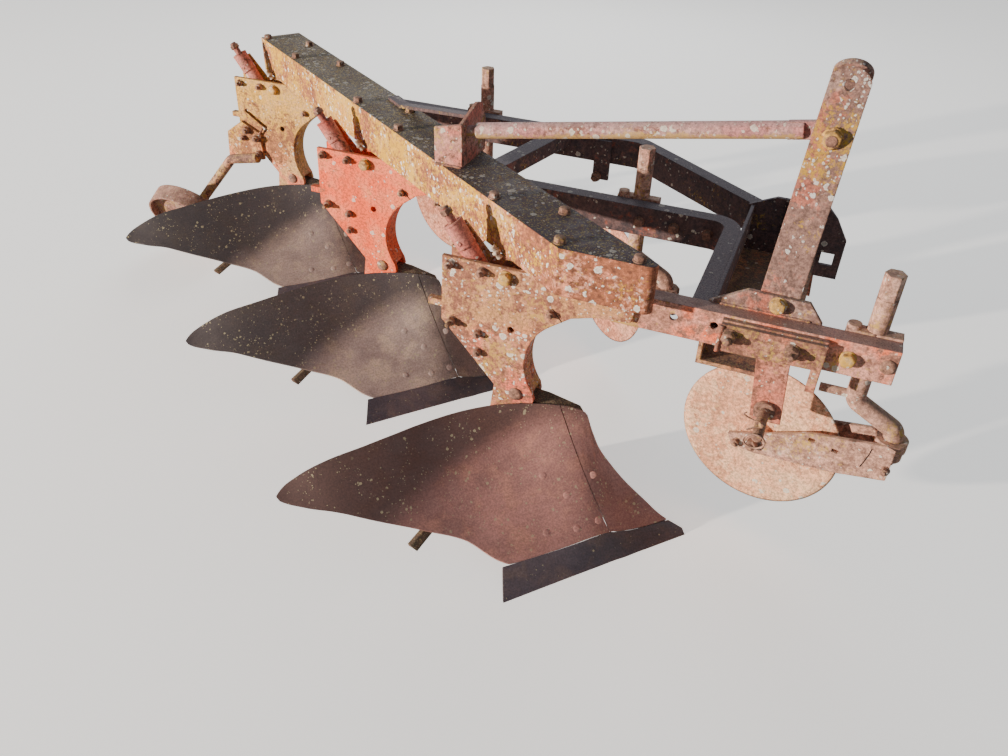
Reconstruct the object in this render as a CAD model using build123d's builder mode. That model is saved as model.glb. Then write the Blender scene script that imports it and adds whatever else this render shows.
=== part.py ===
from build123d import *
from math import atan2, cos, degrees, hypot, radians, sin
import os

os.makedirs("parts", exist_ok=True)

# Mounted three-furrow mouldboard plough. Millimetres, +X is the way it travels,
# +Y is its land side, +Z is up and the shares stand on Z = 0. The layout is drawn from
# the front leg's top bolt, and every piece is shifted by ORIGIN when it is written.

# Furrow layout: each bottom is one step further back and to the land side
FURROWS = 3
FURROW_STEP_BACK = 561
FURROW_STEP_SIDE = 406
furrow_shifts = [(-i * FURROW_STEP_BACK, i * FURROW_STEP_SIDE) for i in range(FURROWS)]
BEAM_ANGLE = atan2(FURROW_STEP_SIDE, FURROW_STEP_BACK)

# Levels
RAIL_TOP = 603
RAIL_HEIGHT = 73
RAIL_FLANGE = 38
RAIL_WALL = 7
RAIL_BOTTOM = RAIL_TOP - RAIL_HEIGHT

# Legs: two plates with the rails' flange width between them
LEG_PLATE = 10
LEG_NEAR = -5
LEG_INNER = LEG_NEAR + LEG_PLATE
LEG_OUTER = LEG_INNER + RAIL_FLANGE
LEG_FOOT = 238

# Main beam: a box of plate, run diagonally over the legs
BEAM_WIDTH = 127
BEAM_HEIGHT = 102
BEAM_WALL = 9
BEAM_LEAD = 49
BEAM_REAR_OVERHANG = 175
BEAM_NOSE_X = 326
BEAM_NOSE_Y = -62
BEAM_TOP = RAIL_TOP + BEAM_HEIGHT
beam_length = (FURROWS - 1) * hypot(FURROW_STEP_BACK, FURROW_STEP_SIDE) + BEAM_REAR_OVERHANG


def moved(part, shift):
    """The part copied to its furrow."""
    return part.moved(Location((shift[0], shift[1], 0)))


pieces = {}


def keep(name, shape):
    """Label a finished piece and hold it until all are written."""
    shape.label = name
    pieces[name] = shape


def beam_outline(inset, overrun):
    """Plan of the beam, drawn in by inset, its rear end moved back by overrun."""
    across = (sin(BEAM_ANGLE), cos(BEAM_ANGLE))
    along = (-cos(BEAM_ANGLE), sin(BEAM_ANGLE))
    nose_y = BEAM_NOSE_Y + inset
    kink_x = BEAM_LEAD + (inset - nose_y * across[1]) / across[0]
    far_x = BEAM_NOSE_X - inset
    far_y = (BEAM_WIDTH - inset - (far_x - BEAM_LEAD) * across[0]) / across[1]
    rear = beam_length + overrun
    rear_points = []
    for offset_across in (inset, BEAM_WIDTH - inset):
        x = BEAM_LEAD + along[0] * rear + across[0] * offset_across
        y = along[1] * rear + across[1] * offset_across
        rear_points.append((x, y))
    return [(BEAM_NOSE_X - inset, nose_y), (kink_x, nose_y), *rear_points, (far_x, far_y)]


NOSE_RADIUS = 17
with BuildPart() as main_beam:
    with BuildSketch(Plane.XY.offset(RAIL_TOP)) as beam_plan:
        with BuildLine():
            Polyline(*beam_outline(0, 0), close=True)
        make_face()
        fillet(beam_plan.vertices().group_by(Axis.X)[-1].sort_by(Axis.Y)[0], NOSE_RADIUS)
    extrude(amount=BEAM_HEIGHT)
    with BuildSketch(Plane.XY.offset(RAIL_TOP + BEAM_WALL)):
        with BuildLine():
            Polyline(*beam_outline(BEAM_WALL, BEAM_WALL), close=True)
        make_face()
    extrude(amount=BEAM_HEIGHT - 2 * BEAM_WALL, mode=Mode.SUBTRACT)
keep("main_beam", main_beam.part)


def rail_section(plane):
    """Channel section: web on the plane's left, flanges to the right, hung below its origin."""
    with BuildSketch(plane) as section:
        with BuildLine():
            Polyline(
                (0, 0),
                (RAIL_FLANGE, 0),
                (RAIL_FLANGE, -RAIL_WALL),
                (RAIL_WALL, -RAIL_WALL),
                (RAIL_WALL, RAIL_WALL - RAIL_HEIGHT),
                (RAIL_FLANGE, RAIL_WALL - RAIL_HEIGHT),
                (RAIL_FLANGE, -RAIL_HEIGHT),
                (0, -RAIL_HEIGHT),
                close=True,
            )
        make_face()
    return section.sketch


# Rails: channel bars running forward from the legs, web to the furrow side
RAIL_START = 235
RIGHT_RAIL_END = 779
OPEN_HOLE_RADIUS = 8
OPEN_HOLES = ((361, 572), (441, 573))
CROSS_WEB_X = 386
RAIL_BEND = 30
LEFT_BEND_X = 72
LEFT_PLATE_Y = 540
LEFT_PLATE = 10

with BuildPart() as right_rail:
    section_plane = Plane(origin=(RAIL_START, LEG_INNER, RAIL_TOP), x_dir=(0, 1, 0), z_dir=(1, 0, 0))
    add(rail_section(section_plane))
    extrude(amount=RIGHT_RAIL_END - RAIL_START, dir=(1, 0, 0))
    with BuildSketch(Plane(origin=(0, LEG_INNER, 0), x_dir=(1, 0, 0), z_dir=(0, -1, 0))):
        with Locations(*OPEN_HOLES):
            Circle(OPEN_HOLE_RADIUS)
    extrude(amount=-RAIL_WALL, mode=Mode.SUBTRACT)
keep("right_rail", right_rail.part)

middle_start = (furrow_shifts[1][0] + RAIL_START, furrow_shifts[1][1] + LEG_INNER, RAIL_TOP)
with BuildPart() as middle_rail:
    with BuildLine() as middle_path:
        FilletPolyline(
            middle_start,
            (CROSS_WEB_X, middle_start[1], RAIL_TOP),
            (CROSS_WEB_X, LEG_OUTER, RAIL_TOP),
            radius=RAIL_BEND,
        )
    add(rail_section(Plane(origin=middle_start, x_dir=(0, 1, 0), z_dir=(1, 0, 0))))
    sweep(path=middle_path.line)
keep("middle_rail", middle_rail.part)

left_start = (furrow_shifts[2][0] + RAIL_START, furrow_shifts[2][1] + LEG_INNER, RAIL_TOP)
left_plate_outer = LEFT_PLATE_Y + LEFT_PLATE
LEFT_BEND_FALL = 0.766
left_reach = LEFT_BEND_X + (left_start[1] - left_plate_outer) / LEFT_BEND_FALL
DIAGONAL_SPARE = 60
with BuildPart() as left_rail:
    with BuildLine() as left_path:
        FilletPolyline(
            left_start,
            (LEFT_BEND_X, left_start[1], RAIL_TOP),
            (left_reach + DIAGONAL_SPARE, left_plate_outer - DIAGONAL_SPARE * LEFT_BEND_FALL, RAIL_TOP),
            radius=RAIL_BEND,
        )
    add(rail_section(Plane(origin=left_start, x_dir=(0, 1, 0), z_dir=(1, 0, 0))))
    sweep(path=left_path.line)
    split(bisect_by=Plane.XZ.offset(-left_plate_outer), keep=Keep.BOTTOM)
keep("left_rail", left_rail.part)

# Tie: a thin flat on edge across the frame, close in front of the middle rail's bent end
TIE_THICKNESS = 8
tie_x = CROSS_WEB_X + RAIL_FLANGE
GUSSET = 10
gusset_far = LEG_OUTER + GUSSET
with BuildPart() as cross_tie:
    with BuildSketch(Plane.XY.offset(RAIL_TOP)):
        with Locations((tie_x, LEG_OUTER)):
            Rectangle(TIE_THICKNESS, LEFT_PLATE_Y - LEG_OUTER, align=(Align.MIN, Align.MIN))
    extrude(amount=-RAIL_HEIGHT)
keep("cross_tie", cross_tie.part)

# Cross channel: a broad channel with its flanges up, bolted under the right rail
CROSS_START = 418
CROSS_WIDTH = 178
CROSS_HEIGHT = 50
CROSS_WALL = 9
with BuildPart() as cross_channel:
    with BuildSketch(Plane(origin=(CROSS_START, LEG_INNER, RAIL_BOTTOM), x_dir=(1, 0, 0), z_dir=(0, 1, 0))):
        with BuildLine():
            Polyline(
                (0, 0),
                (CROSS_WALL, 0),
                (CROSS_WALL, CROSS_HEIGHT - CROSS_WALL),
                (CROSS_WIDTH - CROSS_WALL, CROSS_HEIGHT - CROSS_WALL),
                (CROSS_WIDTH - CROSS_WALL, 0),
                (CROSS_WIDTH, 0),
                (CROSS_WIDTH, CROSS_HEIGHT),
                (0, CROSS_HEIGHT),
                close=True,
            )
        make_face()
    extrude(amount=LEFT_PLATE_Y - LEG_INNER)
keep("cross_channel", cross_channel.part)


def side_plate(points, near, thickness):
    """A plate standing fore and aft: points are (x, z), its faces at near and near + thickness."""
    with BuildPart() as plate:
        with BuildSketch(Plane(origin=(0, near, 0), x_dir=(1, 0, 0), z_dir=(0, -1, 0))):
            with BuildLine():
                Polyline(*points, close=True)
            make_face()
        extrude(amount=-thickness)
    return plate.part


# Right gusset: stands up behind the right rail's flanges and takes the mast's foot
GUSSET_REAR = 417
GUSSET_FRONT = 634
GUSSET_CREST = 644
GUSSET_CREST_REAR = 488
GUSSET_CREST_FRONT = 604
gusset_back = tie_x + TIE_THICKNESS
keep(
    "right_gusset",
    side_plate(
        [
            (GUSSET_REAR, RAIL_TOP),
            (GUSSET_CREST_REAR, GUSSET_CREST),
            (GUSSET_CREST_FRONT, GUSSET_CREST - 2),
            (GUSSET_FRONT, RAIL_TOP),
            (GUSSET_FRONT, RAIL_BOTTOM),
            (gusset_back, RAIL_BOTTOM),
            (gusset_back, RAIL_TOP),
        ],
        LEG_OUTER,
        GUSSET,
    ),
)

# Left plate: gusset and hitch plate in one, with a window near its front
PLATE_TOP = 631
with BuildPart() as left_plate:
    with BuildSketch(Plane(origin=(0, LEFT_PLATE_Y, 0), x_dir=(1, 0, 0), z_dir=(0, -1, 0))):
        with BuildLine():
            Polyline(
                (CROSS_START, RAIL_TOP),
                (480, PLATE_TOP),
                (597, PLATE_TOP),
                (624, 603),
                (655, 552),
                (654, 452),
                (CROSS_START, 452),
                close=True,
            )
        make_face()
        with Locations((622, 500)):
            Rectangle(30, 32, mode=Mode.SUBTRACT)
    extrude(amount=-LEFT_PLATE)
keep("left_plate", left_plate.part)

# Hitch: on each side a hanger flat carries a lower link pin that points outwards
HANGER = 12
HANGER_TOP = 588
HANGER_LOW = 388
PIN_X = 571
PIN_Z = 417
LINK_PIN_RADIUS = 11
LINK_PIN_LENGTH = 100
PIN_COLLAR = 10
PIN_COLLAR_RADIUS = 21
BRACKET = 10
BRACKET_REAR = 456
BRACKET_FRONT = 640
BRACKET_CREST = 594
BRACKET_LEDGE = 598
hanger_near = LEG_INNER - HANGER
hanger_shape = [(531, HANGER_TOP), (531, 545), (546, HANGER_LOW), (607, HANGER_LOW), (595, 545), (595, HANGER_TOP)]
keep("right_hanger", side_plate(hanger_shape, hanger_near, HANGER))
keep("left_hanger", side_plate(hanger_shape, left_plate_outer, HANGER))

with BuildPart() as hitch_bracket:
    add(
        side_plate(
            [
                (BRACKET_REAR, BRACKET_CREST),
                (653, BRACKET_CREST),
                (651, 488),
                (633, 488),
                (BRACKET_FRONT - 6, 538),
                (BRACKET_REAR, 534),
            ],
            hanger_near - BRACKET,
            BRACKET,
        )
    )
    with BuildSketch(Plane.XY.offset(534)):
        with Locations((BRACKET_REAR, hanger_near)):
            Rectangle(20, HANGER, align=(Align.MIN, Align.MIN))
    extrude(amount=50)
    with BuildSketch(Plane.XY.offset(HANGER_TOP + 1)):
        with Locations((BRACKET_REAR, hanger_near)):
            Rectangle(653 - BRACKET_REAR, HANGER, align=(Align.MIN, Align.MIN))
    extrude(amount=BRACKET_LEDGE - HANGER_TOP - 1)
keep("hitch_bracket", hitch_bracket.part)


def link_pin(face_y, side):
    """Lower link pin with its collar, standing out from face_y to the given side."""
    seat = Plane(origin=(PIN_X, face_y, PIN_Z), x_dir=(1, 0, 0), z_dir=(0, side, 0))
    with BuildPart() as pin:
        with BuildSketch(seat):
            Circle(PIN_COLLAR_RADIUS)
        extrude(amount=PIN_COLLAR)
        with BuildSketch(seat):
            Circle(LINK_PIN_RADIUS)
        extrude(amount=LINK_PIN_LENGTH)
        chamfer(pin.edges().sort_by(Axis.Y)[0 if side < 0 else -1], 3)
    return pin.part


keep("right_link_pin", link_pin(hanger_near, -1))
keep("left_link_pin", link_pin(left_plate_outer + HANGER, 1))

# Mast: two flat bars that lean together and hold the top link between them
MAST_WIDTH = 74
MAST_BAR = 12
MAST_FOOT_X = 547
MAST_TOP_X = 573
MAST_BEND_Z = 645
MAST_HOLE_Z = 991
MAST_HOLE_RADIUS = 9.65
MAST_TIP = 37
MAST_SHOULDER = 7
NEAR_BAR_SHORTER = 7
MAST_GAP = 52
MAST_MID_Y = 277
MAST_FOOT_Z = 548
CROSS_PIN_Z = MAST_HOLE_Z - 86
CROSS_PIN_RADIUS = 11
mast_half_gap = (MAST_GAP + MAST_BAR) / 2


def mast_bar(foot_y, top_y, tip):
    """One mast bar: an upright foot, a bend and a leaning length with both holes level across."""
    bend = Vector(MAST_FOOT_X, foot_y, MAST_BEND_Z)
    rise = Vector(MAST_TOP_X, top_y, MAST_HOLE_Z) - bend
    lean = Plane(origin=bend, x_dir=Vector(1, 0, 0) - rise.normalized() * rise.normalized().X, z_dir=rise)
    with BuildPart() as bar:
        with BuildSketch(Plane.XY.offset(MAST_FOOT_Z)):
            with Locations((MAST_FOOT_X, foot_y)):
                Rectangle(MAST_WIDTH, MAST_BAR)
        extrude(amount=MAST_BEND_Z - MAST_FOOT_Z)
        with BuildSketch(Plane(origin=bend - Vector(MAST_WIDTH / 2, 0, 0), x_dir=(0, 1, 0), z_dir=(1, 0, 0))):
            Circle(MAST_BAR / 2)
        extrude(amount=MAST_WIDTH)
        face_plane = Plane(origin=bend, x_dir=lean.x_dir, z_dir=lean.x_dir.cross(lean.z_dir))
        with BuildSketch(face_plane):
            with BuildLine():
                shoulder = rise.length + MAST_SHOULDER
                Polyline((-MAST_WIDTH / 2, shoulder), (-MAST_WIDTH / 2, 0), (MAST_WIDTH / 2, 0), (MAST_WIDTH / 2, shoulder))
                ThreePointArc((MAST_WIDTH / 2, shoulder), (0, rise.length + tip), (-MAST_WIDTH / 2, shoulder))
            make_face()
        extrude(amount=MAST_BAR / 2, both=True)
        pin_share = (CROSS_PIN_Z - MAST_BEND_Z) / (MAST_HOLE_Z - MAST_BEND_Z)
        pin_x = MAST_FOOT_X + (MAST_TOP_X - MAST_FOOT_X) * pin_share
        for hole_x, hole_z, radius in (
            (MAST_TOP_X, MAST_HOLE_Z, MAST_HOLE_RADIUS),
            (pin_x, CROSS_PIN_Z, CROSS_PIN_RADIUS),
        ):
            with BuildSketch(Plane(origin=(hole_x, 0, hole_z), x_dir=(1, 0, 0), z_dir=(0, 1, 0))):
                Circle(radius)
            extrude(amount=2 * MAST_MID_Y, mode=Mode.SUBTRACT)
    return bar.part


right_foot_y = gusset_far + MAST_BAR / 2
left_foot_y = LEFT_PLATE_Y - MAST_BAR / 2
keep("right_mast_bar", mast_bar(right_foot_y, MAST_MID_Y - mast_half_gap, MAST_TIP - NEAR_BAR_SHORTER))
keep("left_mast_bar", mast_bar(left_foot_y, MAST_MID_Y + mast_half_gap, MAST_TIP))


# Cross pin between the mast bars, and the brace tube that runs back from it to the beam
pin_span = (CROSS_PIN_Z - MAST_BEND_Z) / (MAST_HOLE_Z - MAST_BEND_Z)
cross_pin_x = MAST_FOOT_X + (MAST_TOP_X - MAST_FOOT_X) * pin_span
right_pin_y = right_foot_y + (MAST_MID_Y - mast_half_gap - right_foot_y) * pin_span
left_pin_y = left_foot_y + (MAST_MID_Y + mast_half_gap - left_foot_y) * pin_span
PIN_STANDOUT = 24
PIN_FIT = 0.05
with BuildPart() as cross_pin:
    with BuildSketch(Plane(origin=(cross_pin_x, right_pin_y - PIN_STANDOUT, CROSS_PIN_Z), z_dir=(0, 1, 0))):
        Circle(CROSS_PIN_RADIUS - PIN_FIT)
    extrude(amount=left_pin_y - right_pin_y + 2 * PIN_STANDOUT)
keep("mast_cross_pin", cross_pin.part)

BRACE_RADIUS = 17.5
BRACE_Y = 246
BRACE_REAR_X = -190
BRACE_REAR_Z = 781
BRACE_END_GAP = 24
BRACE_END_PIN = 12
BRACE_LUG = 14
BRACE_LUG_LENGTH = 84
brace_front = Vector(cross_pin_x, BRACE_Y, CROSS_PIN_Z)
brace_rear = Vector(BRACE_REAR_X, BRACE_Y, BRACE_REAR_Z)
brace_run = (brace_front - brace_rear).normalized()
with BuildPart() as mast_brace:
    with BuildSketch(Plane(origin=brace_rear + brace_run * BRACE_END_GAP, x_dir=(0, 1, 0), z_dir=brace_run)):
        Circle(BRACE_RADIUS)
    extrude(amount=(brace_front - brace_rear).length - BRACE_LUG_LENGTH + 6)
    with BuildSketch(Plane(origin=brace_rear - brace_run * 20, x_dir=(0, 1, 0), z_dir=brace_run)):
        Circle(BRACE_END_PIN)
    extrude(amount=BRACE_END_GAP + 20)
    lug_plane = Plane(origin=brace_front, x_dir=brace_run, z_dir=(0, -1, 0))
    with BuildSketch(lug_plane):
        with Locations((-BRACE_LUG_LENGTH / 2, 0)):
            Rectangle(BRACE_LUG_LENGTH, 2 * BRACE_RADIUS)
        Circle(BRACE_RADIUS)
    extrude(amount=BRACE_LUG / 2, both=True)
    with BuildSketch(lug_plane):
        Circle(CROSS_PIN_RADIUS)
    extrude(amount=BRACE_LUG, both=True, mode=Mode.SUBTRACT)
    split(bisect_by=Plane.YZ.offset(BRACE_REAR_X), keep=Keep.TOP)
keep("mast_brace", mast_brace.part)

# Bracket on the beam's top that takes the brace tube's rear end, and its sloping stay
BRACKET_WALL = 8
BRACKET_NEAR = 211
BRACKET_FAR = 345
BRACKET_BACK = -257
BRACKET_TOP = 828
BRACKET_SIDE_TOP = 803
STAY_WIDTH = 30
STAY_HOOK = 60
bracket_face = BRACE_REAR_X - BRACKET_WALL
with BuildPart() as brace_bracket:
    with BuildSketch(Plane(origin=(bracket_face, 0, 0), x_dir=(0, 1, 0), z_dir=(1, 0, 0))):
        with BuildLine():
            Polyline(
                (BRACKET_NEAR, BEAM_TOP),
                (BRACKET_FAR, BEAM_TOP),
                (BRACKET_FAR, BRACKET_TOP - 45),
                (BRACKET_FAR - 20, BRACKET_TOP - 6),
                (BRACKET_FAR - 44, BRACKET_TOP),
                (BRACKET_NEAR, BRACKET_SIDE_TOP),
                close=True,
            )
        make_face()
    extrude(amount=BRACKET_WALL)
    with BuildSketch(Plane(origin=(0, BRACKET_NEAR, 0), x_dir=(1, 0, 0), z_dir=(0, -1, 0))):
        with BuildLine():
            Polyline(
                (bracket_face, BEAM_TOP),
                (BRACKET_BACK, BEAM_TOP),
                (BRACKET_BACK, BRACKET_SIDE_TOP - 13),
                (bracket_face, BRACKET_SIDE_TOP),
                close=True,
            )
        make_face()
    extrude(amount=-BRACKET_WALL)
keep("brace_bracket", brace_bracket.part)

stay_foot = Vector(-505, 530, BEAM_TOP)
stay_head = Vector(bracket_face, 290, 800)
stay_flat = Vector(stay_head.X - stay_foot.X, stay_head.Y - stay_foot.Y, 0)
stay_side = stay_flat.normalized()
with BuildPart() as brace_stay:
    with BuildSketch(Plane(origin=stay_foot, x_dir=stay_side, z_dir=stay_side.cross(Vector(0, 0, 1)))):
        with BuildLine():
            Polyline(
                (-STAY_HOOK, 0),
                (14, 0),
                (stay_flat.length + 8, 92),
                (stay_flat.length + 8, 92 + BRACKET_WALL),
                (12, BRACKET_WALL),
                (-STAY_HOOK, BRACKET_WALL),
                close=True,
            )
        make_face()
    extrude(amount=STAY_WIDTH / 2, both=True)
    split(bisect_by=Plane.YZ.offset(bracket_face), keep=Keep.BOTTOM)
keep("brace_stay", brace_stay.part)

# Flat bar across from the middle rail to the left rail, and a strap on the left rail
RAIL_BRACE = 40
middle_outer_y = furrow_shifts[1][1] + LEG_OUTER
left_web_y = furrow_shifts[2][1] + LEG_INNER
with BuildPart() as rail_brace:
    with BuildSketch(Plane.XY.offset(RAIL_TOP)):
        with BuildLine():
            Polyline(
                (-262, middle_outer_y), (-212, middle_outer_y), (-126, left_web_y), (-176, left_web_y), close=True
            )
        make_face()
    extrude(amount=-RAIL_BRACE)
keep("rail_brace", rail_brace.part)

STRAP = 10
keep("rail_strap", side_plate([(-49, 482), (-3, 482), (-3, 596), (-49, 596)], left_web_y - STRAP, STRAP))

# Leg: two plates that straddle the rail, closed along the throat by a bent strip
LEG_OUTLINE_TOP = [(-142, 445), (-138, RAIL_TOP), (294, RAIL_TOP), (279, 542), (208, 536), (155, 520), (113, 489)]
LEG_OUTLINE_FOOT = [(80, 302), (84, 284), (72, LEG_FOOT), (-21, LEG_FOOT), (-13, 302), (-117, 418)]
THROAT_MID = (64, 424)
THROAT_STRIP = 8
LEG_OPEN_HOLE = (23, 457)
EAR = 6
TAIL_PIN = (-130, 470)
TAIL_PIN_RADIUS = 8
TAIL_BAR = 16
TAIL_LENGTH = 54
with BuildPart() as leg:
    for near in (LEG_NEAR, LEG_OUTER):
        with BuildSketch(Plane(origin=(0, near, 0), x_dir=(1, 0, 0), z_dir=(0, -1, 0))):
            with BuildLine():
                Polyline(*LEG_OUTLINE_TOP)
                ThreePointArc(LEG_OUTLINE_TOP[-1], THROAT_MID, LEG_OUTLINE_FOOT[0])
                Polyline(*LEG_OUTLINE_FOOT, LEG_OUTLINE_TOP[0])
            make_face()
        extrude(amount=-LEG_PLATE)
    with BuildSketch(Plane(origin=(0, LEG_INNER, 0), x_dir=(1, 0, 0), z_dir=(0, -1, 0))):
        with BuildLine():
            Polyline((208, 528), (208, 536), (155, 520), (113, 489))
            ThreePointArc((113, 489), THROAT_MID, (80, 302))
            Line((80, 302), (80 - THROAT_STRIP, 302))
            ThreePointArc((80 - THROAT_STRIP, 302), (THROAT_MID[0] - THROAT_STRIP, 424), (106, 495))
            Polyline((106, 495), (152, 528), (208, 528))
        make_face()
    extrude(amount=-RAIL_FLANGE)
    with BuildSketch(Plane(origin=(0, LEG_NEAR, 0), x_dir=(1, 0, 0), z_dir=(0, -1, 0))):
        with Locations(LEG_OPEN_HOLE):
            Circle(OPEN_HOLE_RADIUS)
    extrude(amount=-LEG_PLATE, mode=Mode.SUBTRACT)
    # ear of the far plate, behind the spring barrel
    add(side_plate([(-122, RAIL_TOP - 20), (-118, 662), (-108, 666), (-34, RAIL_TOP - 20)],
                   LEG_OUTER + LEG_PLATE - EAR, EAR))
    # tail bar on its pin between the plates
    with BuildSketch(Plane(origin=(TAIL_PIN[0], LEG_INNER, TAIL_PIN[1]), z_dir=(0, 1, 0))):
        Circle(TAIL_PIN_RADIUS)
    extrude(amount=RAIL_FLANGE)
    with Locations((TAIL_PIN[0] + TAIL_PIN_RADIUS, LEG_INNER + RAIL_FLANGE / 2, TAIL_PIN[1])):
        Box(TAIL_LENGTH + TAIL_PIN_RADIUS, TAIL_BAR, TAIL_BAR, align=(Align.MAX, Align.CENTER, Align.CENTER))
# the rear leg's near plate has a slanting slot as well
SLOT_ENDS = ((-109, 497), (-42, 453))
SLOT_WIDTH = 11
slot_middle = [(SLOT_ENDS[0][i] + SLOT_ENDS[1][i]) / 2 for i in (0, 1)]
slot_rise = SLOT_ENDS[1][1] - SLOT_ENDS[0][1]
slot_run = SLOT_ENDS[1][0] - SLOT_ENDS[0][0]
with BuildPart() as rear_leg:
    add(leg.part)
    with BuildSketch(Plane(origin=(0, LEG_NEAR, 0), x_dir=(1, 0, 0), z_dir=(0, -1, 0))):
        with Locations(Location((*slot_middle, 0), (0, 0, degrees(atan2(slot_rise, slot_run))))):
            SlotCenterToCenter(hypot(slot_run, slot_rise), SLOT_WIDTH)
    extrude(amount=-LEG_PLATE, mode=Mode.SUBTRACT)
for number, shift in enumerate(furrow_shifts, start=1):
    keep(f"leg_{number}", moved(rear_leg.part if number == FURROWS else leg.part, shift))

# Working face of a bottom, one row per upright plane x + y = station: where the profile
# meets the ground and the top edge (distance out from the plane x = y, height), and how
# far it hollows below the straight line between them
FACE_PLATE = 8
FACE_SEAT = 0.7
FACE_ROWS = (
    # station, foot_out, top_out, top_z, hollow
    (482, 324, 310, 9, 0.5),
    (430, 326, 275, 30, 3),
    (380, 328, 240, 66, 7),
    (330, 330, 205, 105, 12),
    (297, 331, 182, 138, 14),
    (264, 333, 158, 178, 17),
    (240, 334, 141, 229, 19),
    (224, 334, 130, 267, 20),
    (149, 337, 94, 279, 23),
    (50, 341, 57, 278, 26),
    (-60, 346, 33, 275, 27),
    (-189, 352, 22, 267, 27),
    (-290, 356, 25, 261, 26),
    (-386, 360, 31, 254, 24),
    (-480, 364, 33, 244, 22),
    (-574, 368, 32, 232, 20),
    (-667, 372, 24, 203, 18),
    (-748, 375, 24, 172, 16),
)


def station_plane(station):
    """Upright plane across the bottom: local X runs out to the furrow, local Y is up."""
    return Plane(origin=(station / 2, station / 2, 0), x_dir=(1, -1, 0), z_dir=(-1, -1, 0))


def plan_point(station, out):
    """Ground point for a station and a distance out."""
    return ((station + out * 2**0.5) / 2, (station - out * 2**0.5) / 2)


def face_profile(row, depth):
    """Foot, middle and top of the profile set back by depth from the working face."""
    station, foot_out, top_out, top_z, hollow = row
    chord = Vector(top_out - foot_out, top_z)
    back = Vector(-chord.Y, chord.X) * (1 / chord.length)
    foot = Vector(foot_out - depth * chord.length / chord.Y, 0)
    top = Vector(top_out, top_z) + back * depth
    middle = (foot + top) * 0.5 + back * hollow
    return foot, middle, top


WING_EDGE = ((-149, 274), (-237, 219), (-353, 185), (-484, 149), (-594, 113), (-704, 71), (-749, 32))
SHARE_HEEL = ((-185, 352), (-166, 305))
with BuildPart() as bottom_face:
    for row in FACE_ROWS:
        front = face_profile(row, 0)
        rear = face_profile(row, FACE_PLATE)
        with BuildSketch(station_plane(row[0])):
            with BuildLine():
                ThreePointArc(*front)
                Line(front[2], rear[2])
                ThreePointArc(*rear[::-1])
                Line(rear[0], front[0])
            make_face()
    loft(ruled=True)
    trim_points = [(-820, 30), (-820, 450), (-225, 450), *SHARE_HEEL, *WING_EDGE]
    with BuildSketch(Plane.XY):
        with BuildLine():
            Polyline(*[plan_point(*point) for point in trim_points], close=True)
        make_face()
    extrude(amount=400, mode=Mode.SUBTRACT)

with BuildPart() as bottom_under:
    for row in FACE_ROWS:
        rear = face_profile(row, FACE_PLATE + FACE_SEAT)
        with BuildSketch(station_plane(row[0])):
            with BuildLine():
                ThreePointArc(*rear)
                Polyline(rear[2], (rear[2].X - 260, rear[2].Y + 60), (rear[2].X - 260, 0), rear[0])
            make_face()
    loft(ruled=True)

SHARE_OUT = 285
SHIN_BACK = plan_point(158, 110)
SHIN_FRONT = plan_point(225, SHARE_OUT)
share_plane = Plane(origin=(*plan_point(0, SHARE_OUT), 0), z_dir=(1, -1, 0))
shin_along = Vector(*SHIN_FRONT, 0) - Vector(*SHIN_BACK, 0)
shin_plane = Plane(origin=(*SHIN_BACK, 0), z_dir=shin_along.cross(Vector(0, 0, 1)))


def half(shape, plane, side):
    """The larger solid that lies on one side of a plane."""
    with BuildPart() as cut:
        add(shape)
        split(bisect_by=plane, keep=side)
    return cut.solids().sort_by(SortBy.VOLUME)[-1]


share = half(bottom_face.part, share_plane, Keep.TOP)
upper = half(bottom_face.part, share_plane, Keep.BOTTOM)
halves = [half(upper, shin_plane, Keep.TOP), half(upper, shin_plane, Keep.BOTTOM)]
mouldboard, shin = sorted(halves, key=lambda solid: solid.bounding_box().max.X)

# Landside: the upright bar that runs against the furrow wall, and the frog that carries it all
LANDSIDE_INNER = 12
LANDSIDE = 10
LANDSIDE_BACK = -50
LANDSIDE_TOP = 108
with BuildPart() as landside:
    add(side_plate([(LANDSIDE_BACK, 0), (420, 0), (420, LANDSIDE_TOP), (LANDSIDE_BACK, LANDSIDE_TOP)],
                   LANDSIDE_INNER, LANDSIDE))
    add(bottom_under.part, mode=Mode.INTERSECT)

FROG_NEAR = -22
FROG_SHOULDER = LEG_FOOT - 0.3
with BuildPart() as frog:
    add(side_plate([(-13, FROG_SHOULDER - 20), (160, FROG_SHOULDER - 20), (200, 262), (84, 300), (-8, 300)],
                   LEG_INNER, RAIL_FLANGE))
    add(side_plate([(-8, FROG_SHOULDER), (230, FROG_SHOULDER), (430, 10), (290, 10), (90, 30), (20, 110)],
                   FROG_NEAR, LANDSIDE_INNER - FROG_NEAR))
    add(bottom_under.part, mode=Mode.INTERSECT)

# Board brace: a flat strut from the frog to the back of the mouldboard's wing
STRUT_WIDTH = 36
STRUT = 9
STRUT_STATION = -300
STRUT_OUT = 170
strut_foot = Vector(46, FROG_NEAR, 188)
strut_head = Vector(*plan_point(STRUT_STATION, STRUT_OUT), 104)
strut_run = (strut_head - strut_foot).normalized()
strut_flat = strut_run.cross(Vector(0, 0, 1)).normalized()
with BuildPart() as board_brace:
    with BuildSketch(Plane(origin=strut_foot - strut_run * 40, x_dir=strut_flat, z_dir=strut_run)):
        Rectangle(STRUT_WIDTH, STRUT)
    extrude(amount=(strut_head - strut_foot).length + 120)
    add(bottom_under.part, mode=Mode.INTERSECT)
    split(bisect_by=Plane.XZ.offset(-FROG_NEAR), keep=Keep.TOP)

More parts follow.
